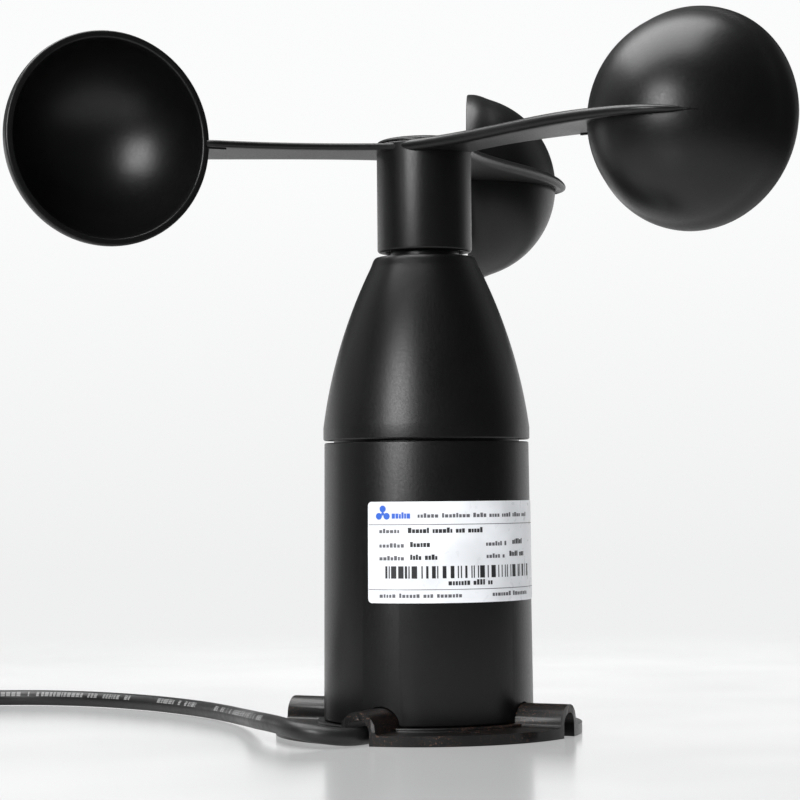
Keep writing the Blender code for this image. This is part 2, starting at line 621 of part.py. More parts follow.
# ---- cable ------------------------------------------------------------------------------------
def make_inner_cable(mats):
    y = -CABLE_HOLE_AT
    route = [(0.0, y, CABLE_TOP_Z), (0.0, y, (CABLE_TOP_Z + RECESS_Z) / 2)]
    floor_z = ROUTE[0][2]
    route += [(0.0, y - BEND_R + BEND_R * math.cos(a), floor_z + BEND_R - BEND_R * math.sin(a))
              for a in (math.radians(90.0 * i / 8) for i in range(9))]
    route.append((0.0, TUNNEL_JOINT_Y, floor_z))
    tube("cable_inner", route, CABLE_R, PARTS, mats["cable_black"])
    hole = CABLE_HOLE_R - GAP
    bore = CABLE_R + GAP
    ring_profile = [(hole + 1.5, PLUG_Z + GAP + 1.4), (hole + 1.5, PLUG_Z + GAP),
                    (hole, PLUG_Z + GAP), (hole, RECESS_Z), (bore, RECESS_Z),
                    (bore, PLUG_Z + GAP + 1.4)]
    turned("cable_grommet", ring_profile, PARTS, mats["rubber"], 20, place=shift(y=y))
    ring("strain_tie", bore, bore + 1.0, PLUG_Z + GAP + 1.8, PLUG_Z + GAP + 4.4, PARTS,
         mats["nylon"], 20, place=shift(y=y))
    header_z = BOARD_Z[0] - 2 * GAP - HEADER_H
    for i, (colour, angle) in enumerate((("brown", 180.0), ("black", 270.0), ("yellow", 90.0),
                                         ("blue", 0.0))):
        foot = Vector((1.2 * math.cos(math.radians(angle)), 1.2 * math.sin(math.radians(angle))))
        top = Vector((LEAD_PITCH * (i - 1.5), HEADER_AT[1] - y))
        points = []
        for k in range(LEAD_POINTS + 1):
            t = k / LEAD_POINTS
            blend = t * t * (3.0 - 2.0 * t)
            bulge = math.sin(math.pi * t) ** 2
            place = foot.lerp(top, blend) * (1.0 + 1.6 * bulge) + Vector((0.0, 7.0 * bulge))
            z = CABLE_TOP_Z + GAP + (header_z - CABLE_TOP_Z - GAP) * t
            points.append((place.x, y + place.y, z))
        tube("lead_" + colour, points, CORE_R, PARTS, mats["lead_" + colour], resolution=1)


def coil_point(radius, degrees, z):
    a = math.radians(degrees)
    return (COIL_CENTRE[0] + radius * math.cos(a), COIL_CENTRE[1] + radius * math.sin(a), z)


def make_outer_cable(mats):
    tube("cable", smooth_route(ROUTE, 4.6), CABLE_R, PARTS, mats["cable_black"])
    half = COIL_TURNS_WIDE * COIL_PITCH / 2
    low = COIL_LIFT - 0.4
    high = COIL_LIFT + COIL_LAYERS * COIL_PITCH
    outer, inner = COIL_MID_R + half, COIL_MID_R - half
    soft = 1.4
    section = [(outer - soft, high), (outer, high - soft), (outer, low + soft),
               (outer - soft, low), (inner + soft, low), (inner, low + soft),
               (inner, high - soft), (inner + soft, high)]
    turned("cable_coil", section, PARTS, mats["cable_black"], 32,
           place=shift(COIL_CENTRE[0], COIL_CENTRE[1]))
    start, end = TAIL_ANGLES
    z = high + GAP + CABLE_R
    count = 12
    tail = [coil_point(COIL_MID_R, start + (end - start) * i / count, z) for i in range(count + 1)]
    tube("cable_tail", tail, CABLE_R, PARTS, mats["cable_black"])
    core_step = math.degrees(CORE_LENGTH / COIL_MID_R) / 5
    core_start = end + math.degrees(GAP / COIL_MID_R)
    cores = [coil_point(COIL_MID_R, core_start + core_step * i, z) for i in range(6)]
    tube("cable_cores", cores, 2 * CORE_R + 0.2, PARTS, mats["lead_yellow"], resolution=1)


# ---- base screws and label --------------------------------------------------------------------
def make_base_screws(mats):
    for i, at in enumerate(around(BASE_SCREW_AT, 4, 45.0)):
        screw = rod(f"base_screw_{i + 1}", SCREW_HEAD_R, *SCREW_HEAD_Z, PARTS, mats["steel"],
                    steps=16, at=at)
        boolean(screw, rod(f"screw_shank_{i}", SCREW_SHANK_R, SCREW_HEAD_Z[1] - GAP, SCREW_END_Z,
                           CUTTERS, steps=12, at=at), "UNION")


def make_label(mats):
    low, high = LABEL_Z
    slope = (HOUSING_R[1] - HOUSING_R[0]) / (HOUSING_Z[1] - HOUSING_Z[0])

    def surface(z):
        return HOUSING_R[0] + slope * (z - HOUSING_Z[0]) + LABEL_GAP
    start, end = LABEL_ANGLES
    label = turned("rating_label", [(surface(high), high), (surface(low), low)], PARTS,
                   mats["label_white"], steps=16, closed=False, angle=end - start,
                   place=turn(start))
    thick = label.modifiers.new("thickness", "SOLIDIFY")
    thick.thickness = LABEL_T * MM
    thick.offset = 1.0


def main():
    mats = make_materials()
    make_base(mats)
    make_lower_housing(mats)
    make_nose(mats)
    make_o_rings(mats)
    make_bearing_sleeve(mats)
    make_bearing("upper", UPPER_BEARING_Z, mats)
    make_bearing("lower", LOWER_BEARING_Z, mats)
    make_shaft(mats)
    make_rotor(mats)
    make_hub_fasteners(mats)
    make_board(mats)
    make_inner_cable(mats)
    make_outer_cable(mats)
    make_base_screws(mats)
    make_label(mats)


for old in list(bpy.data.objects):
    bpy.data.objects.remove(old)
PARTS = bpy.data.collections.new("cup_anemometer")
CUTTERS = bpy.data.collections.new("cutters")
for group in (PARTS, CUTTERS):
    bpy.context.scene.collection.children.link(group)
main()
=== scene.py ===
"""The looks of the cup anemometer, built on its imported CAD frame.

Lengths are in millimetres and add_piece turns each finished mesh into metres.  +Z is up along the
rotor's axis, the origin is the centre of the base's underside, and the cable leaves along -Y.
"""
import math
import random

import bmesh
import bpy
from mathutils import Matrix, Vector


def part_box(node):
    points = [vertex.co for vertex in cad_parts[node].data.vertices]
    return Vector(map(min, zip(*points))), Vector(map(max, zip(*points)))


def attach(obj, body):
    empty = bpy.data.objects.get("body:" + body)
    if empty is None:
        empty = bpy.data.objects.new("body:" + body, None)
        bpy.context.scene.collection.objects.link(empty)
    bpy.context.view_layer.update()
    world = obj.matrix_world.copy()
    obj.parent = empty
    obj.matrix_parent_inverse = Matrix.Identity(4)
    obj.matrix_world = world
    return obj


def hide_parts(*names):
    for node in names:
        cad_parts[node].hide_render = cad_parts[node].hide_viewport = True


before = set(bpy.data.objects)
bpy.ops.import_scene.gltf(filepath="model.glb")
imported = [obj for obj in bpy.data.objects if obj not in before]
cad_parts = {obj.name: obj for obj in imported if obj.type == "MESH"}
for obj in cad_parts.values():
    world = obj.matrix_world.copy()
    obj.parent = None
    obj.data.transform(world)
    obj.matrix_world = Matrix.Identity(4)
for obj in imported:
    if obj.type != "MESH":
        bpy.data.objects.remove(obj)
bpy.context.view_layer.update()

MM = 0.001
TAU = math.tau


def node_box(name):
    """A CAD node's lowest and highest corner, in millimetres."""
    low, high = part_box(name)
    return low / MM, high / MM


# ---- sizes read from the frame ----------------------------
FLANGE_R = node_box("base_flange")[1].x
PLUG_Z = node_box("base_flange")[1].z
HOUSING_LOW = node_box("lower_housing")[0].z
HOUSING_HIGH = node_box("lower_housing")[1].z
HOUSING_LOW_R = node_box("lower_housing")[1].x
COLLAR_Z = node_box("nose_cone")[1].z
SPIGOT_Z = node_box("nose_cone")[0].z
HUB_LOW = node_box("rotor_hub")[0].z
HUB_HIGH = node_box("rotor_hub")[1].z
CAP_Z = node_box("hub_cap")[1].z
LABEL_LOW = node_box("rating_label")[0].z
LABEL_HIGH = node_box("rating_label")[1].z
COIL_LOW, COIL_HIGH = node_box("cable_coil")
COIL_MIDDLE = (COIL_LOW + COIL_HIGH) / 2

# ---- base and housing -------------------------------------
FLANGE_T = 2.5
STEP_R = 27.3
STEP_Z = 3.3
PLUG_R = 22.7
PLUG_GROOVE = (9.6, 11.6)
GROOVE_DEPTH = 1.7
ISLAND_R = 6.5
RECESS_R = 15.5
RECESS_Z = 10.0
TUNNEL_R = 3.0
TUNNEL_MID_Z = 3.0
ARCH_R = 4.5
ARCH_MID_Z = 3.4
ARCH_FOOT = 0.9               # fillet where an arch meets the flange
MOUNT_HOLE_R = 2.15
MOUNT_HOLE_AT = 31.5
BASE_SCREW_AT = 18.6
SCREW_HEAD_R = 2.3
SCREW_HEAD_Z = (0.4, 2.3)
SCREW_SHANK_R = 1.25
SCREW_END_Z = 25.0
SCREW_SLOT = (1.3, 0.25, 1.2)  # half length, half width and top of the cross slots
SCREW_HEAD_HOLE_R = 2.7
SCREW_HEAD_HOLE_Z = 2.7
SCREW_HOLE_R = 1.6
CABLE_HOLE_AT = 10.5
CABLE_HOLE_R = 3.7
HOUSING_HIGH_R = 25.0
HOUSING_BORE_R = 23.0
BOSS_R = 3.3                  # bosses inside the housing that take the base screws
BOSS_Z = (PLUG_Z + 0.4, 29.0)
BOSS_HOLE_R = 1.55
BOSS_HOLE_TOP_Z = 26.5
BOSS_WEB_HALF = 1.3           # half the thickness of the web between a boss and the wall
NOTCH_GAP = 0.3
PAST = 1.0                    # how far a cutting piece runs past what it cuts

# ---- nose -------------------------------------------------
NOSE_BOTTOM_Z = HOUSING_HIGH + 0.6
NOSE_BAND_Z = 74.3
NOSE_BAND_R = 25.25
NOSE_ARC_R = 125.0
NOSE_ARC_FROM = 7.4           # the side's lean from the vertical at the band, degrees
NOSE_ARC_TO = 26.3            # and near the top
NOSE_TOP_Z = 116.1
NOSE_WALL = 2.3
SPIGOT_R = 22.7
SPIGOT_BORE_R = 20.7
SPIGOT_GROOVE = (66.0, 68.0)
SEAT_Z = (70.0, 72.5)
SEAT_R = 14.0
TUBE_R = 10.6
TUBE_BORE_R = 8.6
TUBE_Z = (82.0, 112.9)
COLLAR_R = 8.4
SHAFT_HOLE_R = 3.4
SEAL_R = 6.0
SEAL_Z = 118.2

# ---- rotor ------------------------------------------------
HUB_R = 11.6
SKIRT_BORE_R = 9.7
HUB_WEB_Z = (123.5, 137.5)
HUB_BORE_R = 2.8
HUB_POCKET_R = 8.8
CAP_GAP = 0.1
CAP_SPIGOT_H = 2.0
ARM_MID_Z = 142.55
ARM_LEAD_T = 2.9              # the blade is thicker at its leading edge
ARM_TRAIL_T = 1.7
ARM_STATIONS = 72
CUP_AT = 79.1
CUP_ANGLES = (108.3, 228.3, 348.3)
CUP_TOE = 6.0
CUP_R = 25.1
CUP_WALL = 1.5
CUP_RIM_R = 25.5
CUP_RIM_AT = -1.0
CUP_RIM_H = 2.2
CUP_BLEND = 18.0              # the rim blends into the dome this far behind it, degrees
FIN_SINK = 1.2                # the blade's end lies this much lower, round the cup
FIN_THIN = 0.6                # and loses this share of its thickness
RIB = ((49.6, -4.4), (55.6, -3.6))  # two corners of a moulding rib, seen from above
RIB_HALF_H = 0.4

# ---- label ------------------------------------------------
LABEL_ANGLES = (-97.0, 19.0)
LABEL_T = 0.15
LABEL_GAP = 0.12
LABEL_CORNER = 1.0
INK_T = 0.02

# ---- cable ------------------------------------------------
CABLE_R = 2.1
ROUTE = [                     # the cable's centre from the tunnel to the coil
    (0.3, -21.3, 2.3), (0.3, -28.0, 2.2), (0.1, -33.0, 2.15), (-0.45, -37.4, 2.2),
    (-1.9, -41.2, 2.45), (-5.3, -44.0, 3.0), (-9.9, -44.7, 3.65), (-14.6, -42.8, 4.1),
    (-20.6, -37.9, 4.25), (-27.0, -32.3, 4.2), (-33.3, -25.9, 3.9), (-39.6, -17.6, 3.3),
    (-49.8, -5.2, 2.5), (-62.0, 6.0, 2.2), (-75.4, 15.3, 2.15), (-93.4, 24.2, 2.15),
    (-109.7, 29.3, 2.15), (-123.8, 30.9, 2.15), (-136.6, 29.2, 2.15), (-146.9, 24.8, 2.15),
    (-158.9, 18.0, 2.15)]
COIL_PITCH = 4.2
COIL_RADII = (26.2, 22.0, 17.8)
COIL_LAYERS = 3
COIL_FLOOR = 0.5              # the tie passes under the turns
COIL_SHIFT = 40.0             # degrees over which a turn moves to the next place
COIL_ENTRY = 70.0             # degrees over which the cable joins the outer turn
COIL_STEP = 6.0               # degrees between points on a turn
TAIL_LENGTH = 210.0           # degrees
TIE_ANGLE = 240.0
TIE_T = 0.4
TIE_HALF_WIDTH = 1.4
TIE_HEAD_HALF_WIDTH = 2.3
CORE_LENGTH = 14.0
CORE_R = 0.6
CORE_TIP_R = 0.38
CORE_BARE_FROM = 9            # of a core's 13 points; its insulation ends here
PRINT_SPAN = (50.0, 200.0)    # mm of cable from the tunnel that carry printing
PRINT_ANGLES = (16.0, 34.0, 52.0)  # height of the printing round the cable, degrees

# ---- camera and light -------------------------------------
CAMERA_AT = (279.8, -563.2, 59.5)
CAMERA_TURN = 27.0            # from +Y towards -X, degrees
CAMERA_PITCH = 1.976
CAMERA_ROLL = -0.5
CAMERA_SENSOR = 36.0
CAMERA_LENS = 115.4
REFLECTOR_AT = 1100.0
REFLECTOR_Z = (-180.0, 260.0)


# ---- camera, floor and light ------------------------------
def map_range(tree, value, span, result, kind="LINEAR"):
    """A node's output that takes the value from one span of numbers onto another."""
    node = tree.nodes.new("ShaderNodeMapRange")
    node.interpolation_type = kind
    for socket, number in zip(("From Min", "From Max", "To Min", "To Max"), (*span, *result)):
        node.inputs[socket].default_value = number
    tree.links.new(value, node.inputs["Value"])
    return node.outputs["Result"]


def make_camera():
    data = bpy.data.cameras.new("camera")
    data.sensor_width = CAMERA_SENSOR
    data.lens = CAMERA_LENS
    data.clip_start = 0.01
    data.clip_end = 20.0
    camera = bpy.data.objects.new("camera", data)
    heading = Matrix.Rotation(math.radians(CAMERA_TURN), 4, "Z")
    pitch = Matrix.Rotation(math.radians(90.0 + CAMERA_PITCH), 4, "X")
    roll = Matrix.Rotation(math.radians(CAMERA_ROLL), 4, "Z")
    place = Matrix.Translation(Vector(CAMERA_AT) * MM)
    camera.matrix_world = place @ heading @ pitch @ roll
    bpy.context.scene.collection.objects.link(camera)
    bpy.context.scene.camera = camera


def area_light(name, place, target, size, power, glossy=True):
    """A soft rectangular light; place and target in millimetres, size in metres."""
    data = bpy.data.lights.new(name, "AREA")
    data.shape = "RECTANGLE"
    data.size, data.size_y = size
    data.energy = power
    light = bpy.data.objects.new(name, data)
    aim = (Vector(target) - Vector(place)).to_track_quat("-Z", "Y")
    light.matrix_world = Matrix.Translation(Vector(place) * MM) @ aim.to_matrix().to_4x4()
    light.visible_glossy = glossy
    bpy.context.scene.collection.objects.link(light)


def camera_side(right, away, up):
    """A point given to the right of the axis, away from the camera and up, in millimetres."""
    return Matrix.Rotation(math.radians(CAMERA_TURN), 4, "Z") @ Vector((right, away, up))


def make_lights():
    middle = (0.0, 0.0, 90.0)
    area_light("key_softbox", camera_side(-242.0, -369.0, 241.0), camera_side(0.0, 0.0, 120.0),
               (0.18, 0.22), 1.6)
    area_light("left_softbox", camera_side(-900.0, 350.0, 350.0), middle, (0.9, 1.2), 1.1)
    area_light("right_softbox", camera_side(900.0, 500.0, 350.0), middle, (0.7, 1.0), 0.5)
    area_light("fill_softbox", camera_side(300.0, -1100.0, 300.0), middle, (1.2, 1.2), 9.0,
               glossy=False)
    area_light("top_softbox", camera_side(-300.0, 120.0, 1060.0), middle, (1.0, 1.1), 20.0)


def make_world():
    """A dim white studio all round, with its backdrop lit to near white for the camera."""
    world = bpy.data.worlds.new("studio")
    world.use_nodes = True
    tree = world.node_tree
    tree.nodes.clear()
    room = tree.nodes.new("ShaderNodeBackground")
    room.inputs["Color"].default_value = (0.95, 0.97, 1.0, 1.0)
    room.inputs["Strength"].default_value = 0.06
    backdrop = tree.nodes.new("ShaderNodeBackground")
    backdrop.inputs["Color"].default_value = (0.995, 1.0, 1.0, 1.0)
    direction = tree.nodes.new("ShaderNodeTexCoord")
    axes = tree.nodes.new("ShaderNodeSeparateXYZ")
    tree.links.new(direction.outputs["Generated"], axes.inputs["Vector"])
    rise = map_range(tree, axes.outputs["Z"], (-0.03, 0.12), (0.87, 0.97))
    tree.links.new(rise, backdrop.inputs["Strength"])
    seen = tree.nodes.new("ShaderNodeLightPath")
    choose = tree.nodes.new("ShaderNodeMixShader")
    output = tree.nodes.new("ShaderNodeOutputWorld")
    tree.links.new(seen.outputs["Is Camera Ray"], choose.inputs["Fac"])
    tree.links.new(room.outputs["Background"], choose.inputs[1])
    tree.links.new(backdrop.outputs["Background"], choose.inputs[2])
    tree.links.new(choose.outputs["Shader"], output.inputs["Surface"])
    bpy.context.scene.world = world
    bpy.context.scene.view_settings.view_transform = "Standard"


def make_reflector():
    """A white strip behind the object that only reflections see, like the lit backdrop."""
    bm = bmesh.new()
    columns = []
    for i in range(25):
        a = math.radians(-60.0 + 5.0 * i)
        low, high = (camera_side(REFLECTOR_AT * math.sin(a), REFLECTOR_AT * math.cos(a), z) * MM
                     for z in REFLECTOR_Z)
        columns.append((bm.verts.new(low), bm.verts.new(high)))
    for (a, b), (c, d) in zip(columns, columns[1:]):
        bm.faces.new((a, c, d, b))
    mesh = bpy.data.meshes.new("reflector")
    bm.to_mesh(mesh)
    bm.free()
    reflector = bpy.data.objects.new("reflector", mesh)
    for ray in ("camera", "diffuse", "shadow", "transmission"):
        setattr(reflector, "visible_" + ray, False)
    bpy.context.scene.collection.objects.link(reflector)
    mat = bpy.data.materials.new("reflector_white")
    mat.use_nodes = True
    shader = mat.node_tree.nodes["Principled BSDF"]
    shader.inputs["Emission Color"].default_value = (1.0, 1.0, 1.0, 1.0)
    shader.inputs["Emission Strength"].default_value = 0.42
    mesh.materials.append(mat)


def make_floor():
    """A glossy white table whose far edge fades into the backdrop."""
    bm = bmesh.new()
    bmesh.ops.create_circle(bm, cap_ends=True, segments=96, radius=2.4)
    mesh = bpy.data.meshes.new("table")
    bm.to_mesh(mesh)
    bm.free()
    table = bpy.data.objects.new("table", mesh)
    table.location.z = -0.00005
    bpy.context.scene.collection.objects.link(table)
    shader = Shader("table_white", (0.80, 0.805, 0.81), 0.12)
    seen = shader.node("ShaderNodeLightPath").outputs["Is Camera Ray"]
    shader.colour(shader.mix(seen, (0.32, 0.32, 0.32), (0.14, 0.142, 0.145)))
    shader.bsdf.inputs["Emission Color"].default_value = (1.0, 1.0, 1.0, 1.0)
    shader.bsdf.inputs["Emission Strength"].default_value = 0.32
    spread = shader.node("ShaderNodeVectorMath", operation="LENGTH")
    shader.link(shader.coords, spread.inputs[0])
    fade = map_range(shader.tree, spread.outputs["Value"], (0.12, 0.50), (1.0, 0.0),
                     "SMOOTHERSTEP")
    shader.link(fade, shader.bsdf.inputs["Alpha"])
    shader.roughness(shader.ramp(shader.noise(9.0, 2.0), 0.15, 0.21))
    mesh.materials.append(shader.mat)


# ---- materials --------------------------------------------
class Shader:
    """A Principled material with short ways to wire textures into it."""

    def __init__(self, name, colour, roughness, metallic=0.0):
        self.mat = bpy.data.materials.new(name)
        self.mat.use_nodes = True
        self.tree = self.mat.node_tree
        self.bsdf = self.tree.nodes["Principled BSDF"]
        self.bsdf.inputs["Base Color"].default_value = (*colour, 1.0)
        self.bsdf.inputs["Roughness"].default_value = roughness
        self.bsdf.inputs["Metallic"].default_value = metallic
        self.coords = self.node("ShaderNodeTexCoord").outputs["Object"]

    def node(self, kind, **values):
        node = self.tree.nodes.new(kind)
        for name, value in values.items():
            setattr(node, name, value)
        return node

    def link(self, a, b):
        self.tree.links.new(a, b)

    def noise(self, scale, detail=2.0, stretch=None):
        """Noise with about this many features a metre."""
        texture = self.node("ShaderNodeTexNoise")
        texture.inputs["Scale"].default_value = scale
        texture.inputs["Detail"].default_value = detail
        source = self.coords
        if stretch:
            mapping = self.node("ShaderNodeMapping")
            mapping.inputs["Scale"].default_value = stretch
            self.link(source, mapping.inputs["Vector"])
            source = mapping.outputs["Vector"]
        self.link(source, texture.inputs["Vector"])
        return texture.outputs["Fac"]

    def ramp(self, value, low, high, start=0.3, end=0.7):
        return map_range(self.tree, value, (start, end), (low, high))

    def mix(self, value, low, high):
        """From one colour to another; each is a colour or another mix's output."""
        node = self.node("ShaderNodeMixRGB")
        self.link(value, node.inputs["Fac"])
        for socket, colour in (("Color1", low), ("Color2", high)):
            if isinstance(colour, tuple):
                node.inputs[socket].default_value = (*colour, 1.0)
            else:
                self.link(colour, node.inputs[socket])
        return node.outputs["Color"]

    def colour(self, output):
        self.link(output, self.bsdf.inputs["Base Color"])

    def roughness(self, output):
        self.link(output, self.bsdf.inputs["Roughness"])

    def bump(self, *layers):
        """Each layer is a height output, its strength and its depth in metres."""
        normal = None
        for height, strength, depth in layers:
            node = self.node("ShaderNodeBump")
            node.inputs["Strength"].default_value = strength
            node.inputs["Distance"].default_value = depth
            self.link(height, node.inputs["Height"])
            if normal:
                self.link(normal, node.inputs["Normal"])
            normal = node.outputs["Normal"]
        self.link(normal, self.bsdf.inputs["Normal"])


def black_paint(name, dusty=False):
    """Satin black powder coat: fine orange peel and a little mottling, dusty near the base."""
    s = Shader(name, (0.0022, 0.0022, 0.0023), 0.36)
    s.bsdf.inputs["IOR"].default_value = 1.45
    mottle = s.ramp(s.noise(70.0, 3.0), 0.0, 1.0)
    fine = s.noise(2600.0, 2.0)
    peel = s.noise(1150.0, 1.0)
    paint = s.mix(mottle, (0.0016, 0.0016, 0.0017), (0.0028, 0.0028, 0.0029))
    if dusty:
        specks = s.ramp(s.noise(3200.0, 3.0), 0.0, 1.0, 0.60, 0.68)
        patches = s.ramp(s.noise(62.0, 2.0), 0.0, 1.0, 0.46, 0.60)
        both = s.node("ShaderNodeMath", operation="MULTIPLY")
        s.link(specks, both.inputs[0])
        s.link(patches, both.inputs[1])
        paint = s.mix(both.outputs["Value"], paint, (0.16, 0.085, 0.06))
    s.colour(paint)
    s.roughness(s.ramp(fine, 0.31, 0.41))
    s.bump((peel, 0.30, 0.00005), (fine, 0.2, 0.00002))
    return s.mat


def metal(name, colour, rough, stretch=(1.0, 1.0, 30.0)):
    s = Shader(name, colour, rough, 1.0)
    lines = s.noise(400.0, 3.0, stretch)
    dull = tuple(0.8 * c for c in colour)
    s.colour(s.mix(s.ramp(lines, 0.0, 1.0), dull, colour))
    s.roughness(s.ramp(lines, rough - 0.06, rough + 0.1))
    s.bump((lines, 0.15, 0.00002))
    return s.mat


def plastic(name, colour, rough, grain=900.0, strength=0.2):
    s = Shader(name, colour, rough)
    fine = s.noise(grain, 2.0)
    low = tuple(0.86 * c for c in colour)
    high = tuple(min(1.0, 1.1 * c) for c in colour)
    s.colour(s.mix(s.ramp(s.noise(90.0, 2.0), 0.0, 1.0), low, high))
    s.roughness(s.ramp(fine, rough - 0.04, rough + 0.06))
    s.bump((fine, strength, 0.00003))
    return s.mat


def board_green():
    """Solder mask with tracks showing through it."""
    s = Shader("board_green", (0.01, 0.12, 0.045), 0.32)
    tracks = s.node("ShaderNodeTexBrick")
    tracks.inputs["Scale"].default_value = 260.0
    tracks.inputs["Mortar Size"].default_value = 0.09
    s.link(s.coords, tracks.inputs["Vector"])
    s.colour(s.mix(tracks.outputs["Fac"], (0.008, 0.10, 0.038), (0.02, 0.2, 0.07)))
    s.roughness(s.ramp(s.noise(1500.0), 0.28, 0.4))
    s.bump((tracks.outputs["Fac"], 0.3, 0.00003))
    return s.mat


def make_materials():
    return {
        "paint": black_paint("black_paint"),
        "base_paint": black_paint("black_paint_dusty", dusty=True),
        "steel": metal("steel", (0.60, 0.60, 0.61), 0.28),
        "aluminium": metal("aluminium", (0.70, 0.71, 0.72), 0.34),
        "brass": metal("brass", (0.70, 0.50, 0.20), 0.3),
        "magnet": metal("magnet", (0.42, 0.42, 0.44), 0.3, (1.0, 1.0, 1.0)),
        "copper": metal("tinned_copper", (0.78, 0.74, 0.68), 0.3),
        "rubber": plastic("rubber", (0.014, 0.014, 0.014), 0.72),
        "black_plastic": plastic("black_plastic", (0.016, 0.016, 0.018), 0.48),
        "chip": plastic("chip_black", (0.010, 0.010, 0.012), 0.5, 3000.0),
        "header": plastic("header_white", (0.74, 0.73, 0.68), 0.42),
        "nylon": plastic("nylon", (0.72, 0.71, 0.66), 0.45),
        "board": board_green(),
        "cable": plastic("cable_black", (0.006, 0.006, 0.0065), 0.42, 700.0),
        "tie": plastic("tie_black", (0.014, 0.014, 0.015), 0.5),
        "label": plastic("label_white", (0.80, 0.82, 0.85), 0.30, 500.0, 0.05),
        "ink": plastic("label_ink", (0.018, 0.018, 0.020), 0.4, 1800.0, 0.05),
        "grey_ink": plastic("label_ink_grey", (0.10, 0.10, 0.11), 0.4, 1800.0, 0.05),
        "blue_ink": plastic("label_ink_blue", (0.03, 0.13, 0.62), 0.36, 1800.0, 0.05),
        "print": plastic("cable_print", (0.20, 0.20, 0.20), 0.45, 2500.0),
        "lead_brown": plastic("lead_brown", (0.14, 0.05, 0.02), 0.4),
        "lead_black": plastic("lead_black", (0.018, 0.018, 0.018), 0.4),
        "lead_yellow": plastic("lead_yellow", (0.72, 0.52, 0.03), 0.4),
        "lead_blue": plastic("lead_blue", (0.02, 0.09, 0.40), 0.4),
    }


CAD_FINISHES = {
    "steel": ("lower_circlip", "upper_circlip", "upper_outer_race", "lower_outer_race",
              "upper_inner_race", "lower_inner_race", "rotor_shaft", "shaft_clip", "hub_washer",
              "hub_nut", "board_screw_1", "board_screw_2", "board_screw_3"),
    "brass": ("upper_ball_cage", "lower_ball_cage", "inner_race_spacer"),
    "aluminium": ("bearing_sleeve", "filter_capacitor"),
    "rubber": ("base_seal", "nose_seal", "dust_seal", "cable_grommet"),
    "black_plastic": ("magnet_holder",),
    "magnet": ("ring_magnet",),
    "board": ("sensor_board",),
    "chip": ("controller_chip", "bus_transceiver", "voltage_regulator", "hall_sensor"),
    "header": ("wire_header",),
    "nylon": ("strain_tie",),
    "cable": ("cable_inner",),
    "lead_brown": ("lead_brown",),
    "lead_black": ("lead_black",),
    "lead_yellow": ("lead_yellow",),
    "lead_blue": ("lead_blue",),
}


def finish_cad_nodes(mats):
    for key, names in CAD_FINISHES.items():
        for name in names:
            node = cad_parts[name]
            node.data.materials.clear()
            node.data.materials.append(mats[key])


# ---- mesh tools, all in millimetres -----------------------
def mark_creases(bm, degrees):
    """Smooth faces, with sharp edges where the surface turns by more than degrees."""
    limit = math.radians(degrees)
    for face in bm.faces:
        face.smooth = True
    for edge in bm.edges:
        edge.smooth = len(edge.link_faces) == 2 and edge.calc_face_angle(math.pi) < limit


def add_piece(name, mesh, mat, body, nodes=(), crease=32.0):
    bm = bmesh.new()
    bm.from_mesh(mesh)
    bmesh.ops.scale(bm, vec=(MM, MM, MM), verts=bm.verts)
    bmesh.ops.recalc_face_normals(bm, faces=bm.faces)
    mark_creases(bm, crease)
    bm.to_mesh(mesh)
    bm.free()
    mesh.materials.clear()
    mesh.materials.append(mat)
    piece = bpy.data.objects.new(name, mesh)
    bpy.context.scene.collection.objects.link(piece)
    if nodes:
        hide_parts(*nodes)
    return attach(piece, body)


def corner(before, at, after, radius, count=4):
    """Points on an arc of about this radius that rounds off the corner."""
    a = (Vector(before) - Vector(at)).normalized()
    b = (Vector(after) - Vector(at)).normalized()
    half = a.angle(b) / 2
    reach = min(radius / math.tan(half), 0.45 * (Vector(before) - Vector(at)).length,
                0.45 * (Vector(after) - Vector(at)).length)
    centre = Vector(at) + (a + b).normalized() * reach / math.cos(half)
    start = Vector(at) + a * reach - centre
    end = Vector(at) + b * reach - centre
    sweep = start.angle_signed(end)
    return [centre + Matrix.Rotation(-sweep * i / count, 2) @ start for i in range(count + 1)]


def rounded(outline, closed=True):
    """An outline of (x, y) or (x, y, radius) points with its corners rounded."""
    points = []
    count = len(outline)
    for i, item in enumerate(outline):
        inside = closed or 0 < i < count - 1
        if len(item) == 3 and inside:
            points += corner(outline[i - 1][:2], item[:2], outline[(i + 1) % count][:2], item[2])
        else:
            points.append(Vector(item[:2]))
    return points


def turned(outline, steps=144, closed=True, place=Matrix.Identity(4)):
    """Solid of revolution about Z; an open outline starts and ends on the axis."""
    bm = bmesh.new()
    rows = []
    for r, z in outline:
        if r < 1e-6:
            rows.append([bm.verts.new((0.0, 0.0, z))] * steps)
        else:
            rows.append([bm.verts.new((r * math.cos(TAU * i / steps),
                                       r * math.sin(TAU * i / steps), z)) for i in range(steps)])
    pairs = list(zip(rows, rows[1:]))
    if closed:
        pairs.append((rows[-1], rows[0]))
    for one, two in pairs:
        for i in range(steps):
            j = (i + 1) % steps
            ring = []
            for vert in (one[i], one[j], two[j], two[i]):
                if vert not in ring:
                    ring.append(vert)
            if len(ring) > 2:
                bm.faces.new(ring)
    return finished(bm, place)


def finished(bm, place=Matrix.Identity(4)):
    bmesh.ops.transform(bm, matrix=place, verts=bm.verts)
    bmesh.ops.recalc_face_normals(bm, faces=bm.faces)
    mesh = bpy.data.meshes.new("piece")
    bm.to_mesh(mesh)
    bm.free()
    return mesh


def skin(bm, rings):
    """Joins each ring of vertices to the next one and closes both ends."""
    count = len(rings[0])
    for one, two in zip(rings, rings[1:]):
        for i in range(count):
            j = (i + 1) % count
            bm.faces.new((one[i], one[j], two[j], two[i]))
    bm.faces.new(rings[0])
    bm.faces.new(rings[-1])


